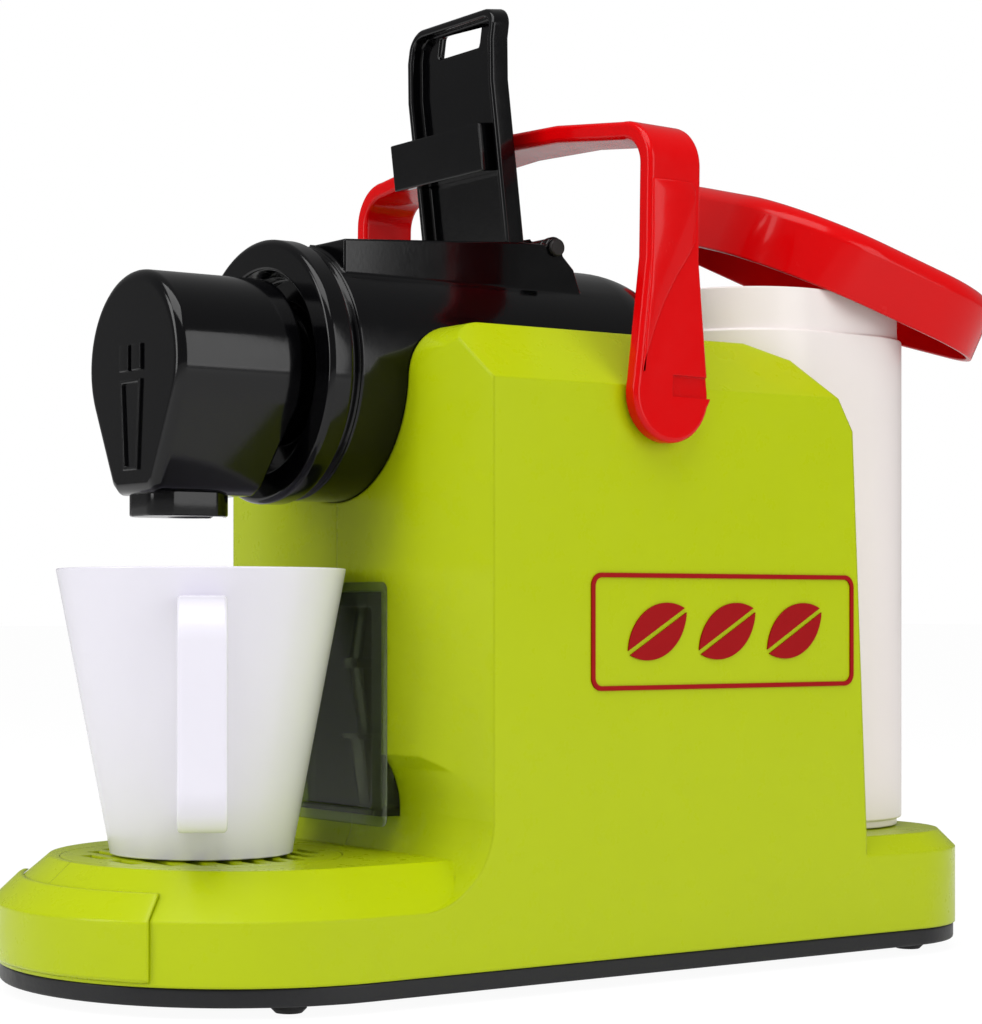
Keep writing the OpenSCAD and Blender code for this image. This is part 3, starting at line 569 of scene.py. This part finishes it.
@dataclass
class RoundedShells:
    """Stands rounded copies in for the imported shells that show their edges."""

    least_angle: float = 32.0
    flat_angle: float = 0.4
    roundings: tuple[Rounding, ...] = (
        Rounding("base_pan", 0.6),
        Rounding("nose_bumper", 0.35, 2),
        Rounding("lever", 1.3, 4, crisp=LEVER_SLOT),
        Rounding("flap", 0.7),
        Rounding("flap_plug", 0.4, 2),
        Rounding("hinge_pin", 0.5, stretch=(0.985, 0.8, 0.8), finish=DARK_PIN),
        Rounding("barrel", 0.6),
        Rounding("collar", 0.5),
        Rounding("nozzle", 0.4, 2, stretch=(1.35, 1.42, 1.0)),
        Rounding("bin_flange", 0.4),
        Rounding("tank", 0.5),
    )

    def copy(self, rounding: Rounding) -> bpy.types.Object:
        """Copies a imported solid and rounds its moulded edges.

        Args:
            rounding: how it is rounded.

        Returns:
            The rounded copy.
        """
        piece = Bench.plain_copy(rounding.node, rounding.node + "_shell")
        Bench.open_all(piece)
        bpy.ops.mesh.dissolve_limited(angle_limit=math.radians(self.flat_angle))
        bpy.ops.object.mode_set(mode="OBJECT")
        bevel = piece.modifiers.new("round", "BEVEL")
        bevel.width = rounding.width * MM
        bevel.segments = rounding.segments
        bevel.limit_method = "WEIGHT"
        bevel.use_clamp_overlap = False
        bevel.miter_outer = "MITER_ARC"
        self.weigh_edges(piece, rounding.crisp)
        Bench.finish_shading(piece)
        return piece

    def weigh_edges(self, piece: bpy.types.Object, crisp: tuple[Place, Place] | None) -> None:
        """Marks which edges are rounded.

        Args:
            piece: the piece, in object mode.
            crisp: two corners in millimetres, mirrored in x, whose edges stay crisp.
        """
        mesh = bmesh.new()
        mesh.from_mesh(piece.data)
        layers = mesh.edges.layers.float
        weight = layers.get("bevel_weight_edge") or layers.new("bevel_weight_edge")
        for edge in mesh.edges:
            if len(edge.link_faces) != 2 or edge.calc_face_angle(0.0) < math.radians(self.least_angle):
                continue
            edge[weight] = 1.0
            if crisp:
                ends = [(abs(v.co.x) / MM, v.co.y / MM, v.co.z / MM) for v in edge.verts]
                if all(crisp[0][i] <= end[i] <= crisp[1][i] for end in ends for i in range(3)):
                    edge[weight] = 0.0
        mesh.to_mesh(piece.data)
        mesh.free()

    @staticmethod
    def stretch(piece: bpy.types.Object, scale: Place) -> None:
        """Scales a piece about the middle of its box.

        Args:
            piece: the piece, in object mode.
            scale: the factors along X, Y and Z.
        """
        box = [Vector(corner) for corner in piece.bound_box]
        middle = (box[0] + box[6]) / 2
        Bench.open_all(piece)
        bpy.ops.transform.resize(value=scale, center_override=middle)
        bpy.ops.object.mode_set(mode="OBJECT")

    def build(self) -> None:
        """Makes each rounded copy and seats it."""
        record = Bench.frame["record"]
        slots = {part["node"]: part["material_slot"] for part in record["subparts"]}
        bodies = {node: body for body, nodes in record["behaviour"]["bodies"].items() for node in nodes}
        for rounding in self.roundings:
            node = rounding.node
            piece = self.copy(rounding)
            if rounding.stretch:
                self.stretch(piece, rounding.stretch)
            Bench.dress(piece, rounding.finish or FINISH_OF_SLOT[slots[node]])
            Bench.seat(piece, Body(bodies[node]), slots[node], node)


@dataclass
class TowerShells:
    """The two lime housings with their front corners slanted above the root curve.

    Attributes:
        inner: x where the slant starts.
        side: x of the housing's side.
        front: y of the tower's front.
        slant: how far the front falls back at the side.
        root: radius of the curve from the deck into the front.
        bevel_z: height where the base's bevel starts.
        bevel_w: width of the base's bevel.
        deck: height of the deck.
        past: how far a tool reaches past what it cuts.
        top: height above the tower where the cut ends.
        curve_steps: parts of the root curve.
    """

    inner: float = 35.0
    side: float = 57.0
    front: float = -56.55
    slant: float = 5.0
    root: float = 20.0
    bevel_z: float = 21.0
    bevel_w: float = 12.0
    deck: float = 31.0
    past: float = 5.0
    top: float = 170.0
    curve_steps: int = 24

    @staticmethod
    def combine(piece: bpy.types.Object, tool: bpy.types.Object, how: str) -> None:
        """Applies one exact Boolean and deletes its tool.

        Args:
            piece: the object that is changed.
            tool: the object that changes it.
            how: the Boolean operation.
        """
        cut = piece.modifiers.new("cut", "BOOLEAN")
        cut.operation = how
        cut.solver = "EXACT"
        cut.object = tool
        Bench.apply_all(piece)
        bpy.data.objects.remove(tool, do_unlink=True)

    @staticmethod
    def tool(name: str, outline: Outline, low: float, high: float, turn: Place = (0.0, 0.0, 0.0)) -> bpy.types.Object:
        """Raises a prism and turns it.

        Args:
            name: the tool's name.
            outline: corners in the prism's own X and Z.
            low: where it starts.
            high: where it ends.
            turn: angles in degrees.

        Returns:
            The closed tool in object mode.
        """
        piece = Bench.prism(name, outline, low, high)
        bpy.ops.object.mode_set(mode="OBJECT")
        piece.rotation_euler = [math.radians(angle) for angle in turn]
        bpy.ops.object.transform_apply(location=False, rotation=True, scale=False)
        return piece

    def wedge(self, hand: int) -> bpy.types.Object:
        """Models the upright room in front of the slanted line.

        Args:
            hand: 1 for the right shell, -1 for the left.

        Returns:
            The tool.
        """
        outer = self.side + 1
        fall = self.front + self.slant / (self.side - self.inner) * (outer - self.inner)
        ahead = -90.0
        plan = [(self.inner, self.front), (outer, fall), (outer, ahead), (self.inner, ahead)]
        return self.tool("corner_wedge", [(hand * x, -y) for x, y in plan], self.bevel_z, self.top, (90, 0, 0))

    def room(self) -> bpy.types.Object:
        """Models the room in front of the root curve and of the slant's rear end.

        Returns:
            The tool.
        """
        back = self.front + self.slant
        ahead = -95.0
        angles = [math.pi / 2 * step / self.curve_steps for step in range(self.curve_steps + 1)]
        outline = [
            (-(back - self.root + self.root * math.sin(a)), self.bevel_z + self.root - self.root * math.cos(a))
            for a in angles
        ]
        outline += [(-back, self.top + self.past), (-ahead, self.top + self.past), (-ahead, self.bevel_z)]
        return self.tool("corner_curve", outline, -70.0, 70.0, (0, 0, -90))

    def base(self, hand: int) -> bpy.types.Object:
        """Models the part of the base that the cut leaves alone.

        Args:
            hand: 1 for the right shell, -1 for the left.

        Returns:
            The tool.
        """
        start, outer = self.inner - self.past, self.side + 0.5
        section = [(start, 0.0), (outer, 0.0), (outer, self.bevel_z), (self.side, self.bevel_z)]
        section += [(self.side - self.bevel_w, self.deck), (start, self.deck)]
        return self.tool("corner_base", [(hand * x, z) for x, z in section], -100.0, -40.0)

    def build(self) -> None:
        """Makes both housings."""
        for node, hand in (("body_right", 1), ("body_left", -1)):
            piece = Bench.plain_copy(node, node + "_shell")
            corner = self.wedge(hand)
            self.combine(corner, self.room(), "INTERSECT")
            self.combine(corner, self.base(hand), "DIFFERENCE")
            self.combine(piece, corner, "DIFFERENCE")
            Bench.finish_shading(piece, 30)
            Bench.dress(piece, LIME)
            Bench.seat(piece, Body.BASE, "lime_plastic", node)


@dataclass
class TankLid:
    """The loose red lid: a deep rim under a softly bevelled top, laid askew.

    Attributes:
        half: half its width.
        front: y of its front before it is laid askew.
        rear: y of its rear before it is laid askew.
        corner: radius of its corners in plan.
        skirt: depth of the rim.
        plate: thickness of the top.
        wall: thickness of the rim.
        soft: rounding of the top's edge.
        tilt: turn about X in degrees.
        roll: turn about Y in degrees.
        turn: turn about Z in degrees.
        dome: how far the middle of the top rises.
        dome_inset: how far inside the edge that middle starts.
        place: where the middle of its lower edge lies.
    """

    half: float = 44.2
    front: float = 36.3
    rear: float = 118.2
    corner: float = 31.2
    skirt: float = 12.5
    plate: float = 4.5
    wall: float = 1.5
    soft: float = 4.4
    tilt: float = 18.0
    roll: float = 14.5
    turn: float = 8.0
    dome: float = 0.7
    dome_inset: float = 12.0
    place: Place = (4.6, 96.4, 173.9)

    def pose(self) -> Matrix:
        """Gives the lid's resting place.

        Returns:
            The transform from the level lid to the lid as it lies.
        """
        middle = (self.front + self.rear) / 2
        return (
            Matrix.Translation(Vector(self.place) * MM)
            @ Matrix.Rotation(math.radians(-self.turn), 4, "Z")
            @ Matrix.Rotation(math.radians(-self.tilt), 4, "X")
            @ Matrix.Rotation(math.radians(self.roll), 4, "Y")
            @ Matrix.Translation(Vector((0, -middle, self.skirt)) * MM)
        )

    def build(self) -> None:
        """Models the lid from a block: round corners, soft top, hollow underside."""
        low, high = (-self.half, self.front, -self.skirt), (self.half, self.rear, self.plate)
        piece = Bench.block("lid_moulding", low, high)
        Bench.pick_edges(lambda a, b: abs(a.z - b.z) > 0.005)
        bpy.ops.mesh.bevel(offset=self.corner * MM, segments=20, affect="EDGES")
        top = self.plate * MM
        Bench.pick_edges(lambda a, b: min(a.z, b.z) > top - TINY)
        bpy.ops.mesh.bevel(offset=self.soft * MM, segments=7, affect="EDGES", profile=0.42)
        Bench.pick_faces(lambda c, n: n.z < -0.9 and c.z < -self.skirt * MM + TINY)
        bpy.ops.mesh.inset(thickness=self.wall * MM)
        bpy.ops.mesh.extrude_region_move(TRANSFORM_OT_translate={"value": (0, 0, self.skirt * MM)})
        Bench.pick_faces(lambda c, n: n.z > 0.99 and c.z > top - TINY)
        bpy.ops.mesh.inset(thickness=self.dome_inset * MM)
        bpy.ops.transform.translate(value=(0, 0, self.dome * MM))
        Bench.soften(piece, 0.35, 2, angle=60, smooth=45)
        piece.data.transform(self.pose())
        Bench.dress(piece, RED)
        Bench.seat(piece, Body.LID, "red_plastic", "tank_lid")


@dataclass
class PlayCup:
    """The loose cup: a thin cone on a foot ring, with a strap handle.

    Attributes:
        rim: radius at the mouth.
        foot: radius at the bottom.
        height: height of the cone.
        wall: thickness of the cone at the mouth.
        floor: thickness of the bottom.
        disc: thickness of the disc that the cone is drawn from.
        ring: width of the foot ring.
        recess: depth inside the foot ring.
        place: where the middle of the bottom stands.
        turn: direction of the handle in degrees.
        strap: width of the handle.
    """

    rim: float = 34.0
    foot: float = 21.5
    height: float = 66.5
    wall: float = 1.8
    floor: float = 3.6
    disc: float = 0.8
    ring: float = 2.6
    recess: float = 1.6
    place: Place = (0.0, -94.55, 31.5)
    turn: float = -30.0
    strap: float = 11.0

    def bowl(self) -> bpy.types.Object:
        """Models the cone from a thin disc: drawn up, opened, hollowed and given its foot ring.

        Returns:
            The bowl, in place.
        """
        Bench.clear()
        centre = Vector(self.place) * MM
        bpy.ops.mesh.primitive_cylinder_add(
            vertices=120,
            radius=self.foot * MM,
            depth=self.disc * MM,
            location=centre + Vector((0, 0, self.disc / 2 * MM)),
        )
        piece = bpy.context.object
        piece.name = "cup_bowl"
        bpy.ops.object.transform_apply(location=True, rotation=True, scale=True)
        bpy.ops.object.mode_set(mode="EDIT")

        def grow(ratio: float) -> None:
            """Scales the selection in plan about the cup's axis."""
            bpy.ops.transform.resize(value=(ratio, ratio, 1), center_override=centre)

        Bench.pick_faces(lambda c, n: n.z > 0.9)
        bpy.ops.mesh.extrude_region_move(TRANSFORM_OT_translate={"value": (0, 0, (self.height - self.disc) * MM)})
        grow(self.rim / self.foot)
        bpy.ops.mesh.inset(thickness=self.wall * MM)
        bpy.ops.mesh.extrude_region_move(TRANSFORM_OT_translate={"value": (0, 0, (self.floor - self.height) * MM)})
        grow((self.foot - self.wall) / (self.rim - self.wall))
        Bench.pick_faces(lambda c, n: n.z < -0.9)
        bpy.ops.mesh.inset(thickness=self.ring * MM)
        bpy.ops.mesh.extrude_region_move(TRANSFORM_OT_translate={"value": (0, 0, self.recess * MM)})
        bpy.ops.mesh.inset(thickness=0.4 * MM)
        Bench.soften(piece, 0.5, 3, angle=35, smooth=45)
        return piece

    def handle(self) -> bpy.types.Object:
        """Models the strap handle from its side outline.

        Returns:
            The handle, in place.
        """
        outer, inner, low, high = 50.5, 47.5, 8.0, 60.0
        wide, tight, thick = 10, 7, 3

        def arc(cx: float, cz: float, radius: float, start: float, end: float) -> Outline:
            """Gives the points of one round corner."""
            angles = [math.radians(start + (end - start) * step / 10) for step in range(11)]
            return [(cx + radius * math.cos(a), cz + radius * math.sin(a)) for a in angles]

        outline = [(22.2, low)] + arc(outer - wide, low + wide, wide, -90, 0)
        outline += arc(outer - wide, high - wide, wide, 0, 90) + [(31.8, high)]
        outline += [(31.3, high - thick)] + arc(inner - tight, high - wide, tight, 90, 0)
        outline += arc(inner - tight, low + wide, tight, 0, -90) + [(22.6, low + thick)]
        piece = Bench.prism("cup_handle", outline, -self.strap / 2, self.strap / 2)
        Bench.soften(piece, 0.9, 3, angle=40)
        piece.data.transform(
            Matrix.Translation(Vector(self.place) * MM) @ Matrix.Rotation(math.radians(self.turn), 4, "Z")
        )
        return piece

    def build(self) -> None:
        """Models the cup and stands it on the grate."""
        bowl, handle = self.bowl(), self.handle()
        for made in (bowl, handle):
            Bench.dress(made, CUP_WHITE)
        Bench.seat(bowl, Body.CUP, "cup_white", "cup")
        Bench.seat(handle, Body.CUP, "cup_white")


@dataclass
class LeverRidges:
    """The raised curved fields on the outer faces of the lever's two arms.

    Attributes:
        face: x of the arm's outer face.
        rise: how far the field stands out.
        sunk: how far it reaches into the arm.
        soft: rounding of its edge.
        field_edge: its outline in Y and Z.
    """

    face: float = 61.7
    rise: float = 0.5
    sunk: float = 0.4
    soft: float = 0.42
    field_edge: tuple[tuple[float, float], ...] = (
        (4.15, 175.12),
        (2.62, 172.52),
        (-1.88, 166.43),
        (-5.48, 160.45),
        (-8.23, 154.56),
        (-10.45, 148.76),
        (-11.7, 143.6),
        (-11.91, 143.9),
        (-11.65, 146.27),
        (-10.79, 154.15),
        (-9.55, 165.5),
        (-8.95, 175.47),
        (-8.95, 183.73),
        (-8.95, 187.5),
        (-8.95, 189.3),
        (2.62, 189.3),
        (4.15, 187.5),
        (4.15, 184.18),
        (4.15, 179.46),
    )

    def build(self) -> None:
        """Models one field from its outline and sets its mirror image on the far arm."""
        depth = self.rise + self.sunk
        inner = (self.face - self.sunk) * MM
        for name, side in (("arm_ridge_near", 1), ("arm_ridge_far", -1)):
            piece = Bench.prism(name, list(self.field_edge), 0.0, depth)
            Bench.pick_edges(lambda a, b: min(a.y, b.y) > depth * MM - TINY / 10)
            bpy.ops.mesh.bevel(offset=self.soft * MM, segments=3, affect="EDGES")
            bpy.ops.object.mode_set(mode="OBJECT")
            Bench.finish_shading(piece)
            for vertex in piece.data.vertices:
                y, out, z = vertex.co
                vertex.co = Vector((side * (inner + out), y, z))
            Bench.open_all(piece)
            bpy.ops.mesh.normals_make_consistent(inside=False)
            bpy.ops.object.mode_set(mode="OBJECT")
            Bench.dress(piece, RED)
            Bench.seat(piece, Body.LEVER, "red_plastic")


@dataclass
class BrewHead:
    """The glossy head in front of the collar, with its flat bottom, soft face and relief.

    Attributes:
        radius: radius of the round upper part.
        centre: height of its axis.
        foot: half the width of the flat bottom.
        bottom: height of the flat bottom.
        face: y of the face.
        back: y of the rear end.
        neck: radius of the neck.
        neck_length: length of the neck.
        neck_middle: how far behind the head's rear end the neck's middle lies.
        soft: rounding of the face's edge.
        corner: rounding of the foot's corners.
        cut_rise: height above the bottom where the rear end starts to slant.
        cut_slope: how far it slants forward for each millimetre down.
        arc_steps: parts of the arc.
        relief_rise: how far the relief stands out.
        relief_root: how far it reaches into the face.
    """

    radius: float = 22.0
    centre: float = 145.0
    foot: float = 10.0
    bottom: float = 115.0
    face: float = -113.05
    back: float = -80.0
    neck: float = 16.0
    neck_length: float = 24.0
    neck_middle: float = 2.0
    soft: float = 2.6
    corner: float = 2.0
    cut_rise: float = 20.0
    cut_slope: float = 0.25
    arc_steps: int = 56
    relief_rise: float = 0.7
    relief_root: float = 0.4

    def outline(self) -> Outline:
        """Draws the head from the front: an arc that runs into a tapered foot.

        Returns:
            Corners in X and Z.
        """
        radius, foot, bottom, corner = self.radius, self.foot, self.bottom, self.corner
        fall = bottom - self.centre
        meet = math.atan2(fall, foot) + math.acos(radius / math.hypot(foot, fall))
        start, end = meet, math.pi - meet
        arc = [start + (end - start) * step / self.arc_steps for step in range(self.arc_steps + 1)]
        flare = foot + 0.35 * corner
        points = [(radius * math.cos(a), self.centre + radius * math.sin(a)) for a in arc]
        points += [(-flare, bottom + corner), (-foot + corner, bottom)]
        points += [(foot - corner, bottom), (flare, bottom + corner)]
        return points

    def body(self) -> bpy.types.Object:
        """Models the head from its outline, softens its face and slants its rear end below.

        Returns:
            The head.
        """
        piece = Bench.prism("head_moulding", self.outline(), self.face, self.back)
        front = self.face * MM
        rear = self.back * MM
        Bench.pick_edges(lambda a, b: max(a.y, b.y) < front + TINY)
        bpy.ops.mesh.bevel(offset=self.soft * MM, segments=6, affect="EDGES", profile=0.5)
        Bench.pick_edges(lambda a, b: min(a.y, b.y) > rear - TINY)
        bpy.ops.mesh.bevel(offset=0.8 * MM, segments=3, affect="EDGES")
        mesh = bmesh.from_edit_mesh(piece.data)
        for vertex in mesh.verts:
            low = (self.bottom + self.cut_rise) * MM - vertex.co.z
            if vertex.co.y > rear - 2 * MM and low > 0:
                vertex.co.y -= self.cut_slope * low
        bmesh.update_edit_mesh(piece.data)
        bpy.ops.object.mode_set(mode="OBJECT")
        Bench.finish_shading(piece)
        return piece

    def stem(self) -> bpy.types.Object:
        """Models the round neck behind the head.

        Returns:
            The neck.
        """
        Bench.clear()
        bpy.ops.mesh.primitive_cylinder_add(
            vertices=96,
            radius=self.neck * MM,
            depth=self.neck_length * MM,
            location=(0, (self.back + self.neck_middle) * MM, self.centre * MM),
            rotation=(math.pi / 2, 0, 0),
        )
        neck = bpy.context.object
        neck.name = "head_neck"
        bpy.ops.object.transform_apply(location=True, rotation=True, scale=True)
        bpy.ops.object.mode_set(mode="EDIT")
        Bench.pick_edges(lambda a, b: max(a.y, b.y) < (self.back - 3) * MM)
        bpy.ops.mesh.bevel(offset=0.6 * MM, segments=3, affect="EDGES")
        bpy.ops.object.mode_set(mode="OBJECT")
        Bench.finish_shading(neck)
        return neck

    def relief(self, name: str, outline: Outline, band: float = 0.0) -> bpy.types.Object:
        """Models one raised mark on the face.

        Args:
            name: the piece's name.
            outline: corners in X and Z.
            band: width of the frame round its sunk middle, or 0 for a plain stud.

        Returns:
            The mark.
        """
        piece = Bench.prism(name, outline, self.face - self.relief_rise, self.face + self.relief_root)
        if band:
            Bench.pick_faces(lambda c, n: n.y < -0.9)
            bpy.ops.mesh.inset(thickness=band * MM)
            bpy.ops.mesh.extrude_region_move(TRANSFORM_OT_translate={"value": (0, 0.9 * MM, 0)})
        Bench.soften(piece, 0.25, 2)
        return piece

    def stud(self, side: int) -> Outline:
        """Draws one of the two studs.

        Args:
            side: 1 for the right one, -1 for the left.

        Returns:
            Corners in X and Z.
        """
        left, right = side * 2.9 - 2.1, side * 2.9 + 2.1
        low, high = self.centre - 1.6, self.centre + 4.6
        return [(left, low), (right, low), (right, high), (left, high)]

    def build(self) -> None:
        """Models the head, its neck and its relief: two studs over a long tapered frame."""
        foot, top = self.bottom + 5.5, self.centre - 3.5
        taper = [(-3.2, foot), (3.2, foot), (4.8, top), (-4.8, top)]
        head = self.body()
        plain = [self.stem()]
        frame = self.relief("relief_frame", taper, band=0.9)
        plain += [self.relief("relief_stud_left", self.stud(-1)), self.relief("relief_stud_right", self.stud(1))]
        for piece in (head, frame, *plain):
            Bench.dress(piece, GLOSS_BLACK)
        Bench.seat(head, Body.BASE, "black_gloss", "head_upper", "head_lower")
        Bench.seat(frame, Body.BASE, "black_gloss", "head_relief")
        for piece in plain:
            Bench.seat(piece, Body.BASE, "black_gloss")


# ---------------------------------------------------------------- studio


@dataclass
class Studio:
    """The floor, the soft lights and the camera at the photograph's angle.

    Attributes:
        stand: where the camera stands, in metres.
        aim: the point that the lamps face, in metres.
        azimuth: the camera's direction round from the nose, in degrees.
        lens: its focal length.
        shift: its lens shift.
        air_diffuse: strength of the surround for diffuse light.
        air_glossy: strength of the surround in reflections.
        floor_seen: share of the glow in the floor that the camera sees.
        floor_glossy: share of the glow in the floor's reflections.
    """

    stand: Vector = field(default_factory=lambda: Vector((0.5108, -0.39265, 0.0876)))
    aim: Vector = field(default_factory=lambda: Vector((0, 0, 0.1)))
    azimuth: float = 56.3
    lens: float = 92.17
    shift: tuple[float, float] = (0.1414, 0.1029)
    air_diffuse: float = 0.45
    air_glossy: float = 0.22
    floor_seen: float = 0.9
    floor_glossy: float = 0.35

    def camera(self) -> None:
        """Adds the camera."""
        data = bpy.data.cameras.new("camera")
        camera = bpy.data.objects.new("camera", data)
        bpy.context.scene.collection.objects.link(camera)
        data.sensor_fit = "HORIZONTAL"
        data.sensor_width = 36.0
        data.lens = self.lens
        data.shift_x, data.shift_y = self.shift
        data.clip_start = 0.01
        data.clip_end = 50.0
        turn = math.radians(self.azimuth)
        ahead = Vector((-math.sin(turn), math.cos(turn), 0))
        across = Vector((math.cos(turn), math.sin(turn), 0))
        camera.matrix_world = Matrix(
            (
                (across.x, 0, -ahead.x, self.stand.x),
                (across.y, 0, -ahead.y, self.stand.y),
                (across.z, 1, -ahead.z, self.stand.z),
                (0, 0, 0, 1),
            )
        )
        bpy.context.scene.camera = camera

    def floor(self) -> None:
        """Adds a pale floor that reads white and keeps a soft shadow."""
        Bench.clear()
        bpy.ops.mesh.primitive_plane_add(size=30, location=(0, 0, 0))
        floor = bpy.context.object
        floor.name = "studio_floor"
        made = bpy.data.materials.new("studio_paper")
        graph = Graph.of(made)
        out = graph.node("OutputMaterial")
        paper = graph.node("BsdfDiffuse")
        paper.inputs["Color"].default_value = (0.9, 0.9, 0.9, 1)
        glow = graph.node("Emission", Strength=1.05)
        seen = graph.node("LightPath")
        share = graph.node("Math", operation="MULTIPLY_ADD")
        share.inputs[1].default_value = self.floor_glossy
        direct = graph.node("Math", operation="MULTIPLY")
        direct.inputs[1].default_value = self.floor_seen
        graph.link(seen.outputs["Is Camera Ray"], direct.inputs[0])
        graph.link(seen.outputs["Is Glossy Ray"], share.inputs[0])
        graph.link(direct.outputs[0], share.inputs[2])
        mix = graph.node("MixShader")
        graph.link(share.outputs[0], mix.inputs["Fac"])
        graph.link(paper.outputs[0], mix.inputs[1])
        graph.link(glow.outputs[0], mix.inputs[2])
        graph.link(mix.outputs[0], out.inputs["Surface"])
        floor.data.materials.append(made)

    def world(self) -> None:
        """Makes the surround white to the camera and dim to the object."""
        world = bpy.data.worlds.new("studio_air")
        bpy.context.scene.world = world
        graph = Graph.of(world)
        out = graph.node("OutputWorld")
        air = graph.node("Background")
        seen = graph.node("LightPath")
        white = graph.node("Math", operation="MAXIMUM")
        graph.link(seen.outputs["Is Camera Ray"], white.inputs[0])
        graph.link(seen.outputs["Is Transmission Ray"], white.inputs[1])
        dim = graph.ramp(seen.outputs["Is Glossy Ray"], (0.0, 1.0), (self.air_diffuse, self.air_glossy))
        level = graph.node("MapRange")
        level.inputs["To Max"].default_value = 1.0
        graph.link(white.outputs[0], level.inputs["Value"])
        graph.link(dim, level.inputs["To Min"])
        air.inputs["Color"].default_value = (1, 1, 1, 1)
        graph.link(level.outputs["Result"], air.inputs["Strength"])
        graph.link(air.outputs[0], out.inputs["Surface"])

    def lamp(self, name: str, place: Place, size: tuple[float, float], power: float) -> None:
        """Adds one soft rectangular lamp that faces the middle of the object.

        Args:
            name: the lamp's name.
            place: where it stands.
            size: its width and height.
            power: its power in watts.
        """
        data = bpy.data.lights.new(name, "AREA")
        data.shape = "RECTANGLE"
        data.size, data.size_y = size
        data.energy = power
        lamp = bpy.data.objects.new(name, data)
        bpy.context.scene.collection.objects.link(lamp)
        lamp.location = place
        lamp.rotation_euler = (self.aim - Vector(place)).to_track_quat("-Z", "Y").to_euler()

    def build(self) -> None:
        """Sets the whole studio."""
        self.floor()
        self.world()
        self.lamp("softbox_top", (0.25, -0.35, 1.0), (0.9, 0.7), 7.0)
        self.lamp("softbox_front", (-0.2, -1.1, 0.55), (0.35, 0.9), 4.5)
        self.lamp("softbox_side", (1.2, 0.35, 0.5), (0.7, 0.9), 5.5)
        bpy.context.scene.view_settings.view_transform = "Standard"


def main() -> None:
    """Builds the dressed model in order."""
    logging.basicConfig(level=logging.INFO, format="%(name)s: %(message)s")
    Bench.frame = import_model()
    Bench.clear()
    studio = Studio()
    studio.camera()
    PackedNodes.dress()
    RoundedShells().build()
    TowerShells().build()
    TankLid().build()
    PlayCup().build()
    LeverRidges().build()
    BrewHead().build()
    studio.build()
    Bench.clear()


if __name__ == "__main__":
    main()
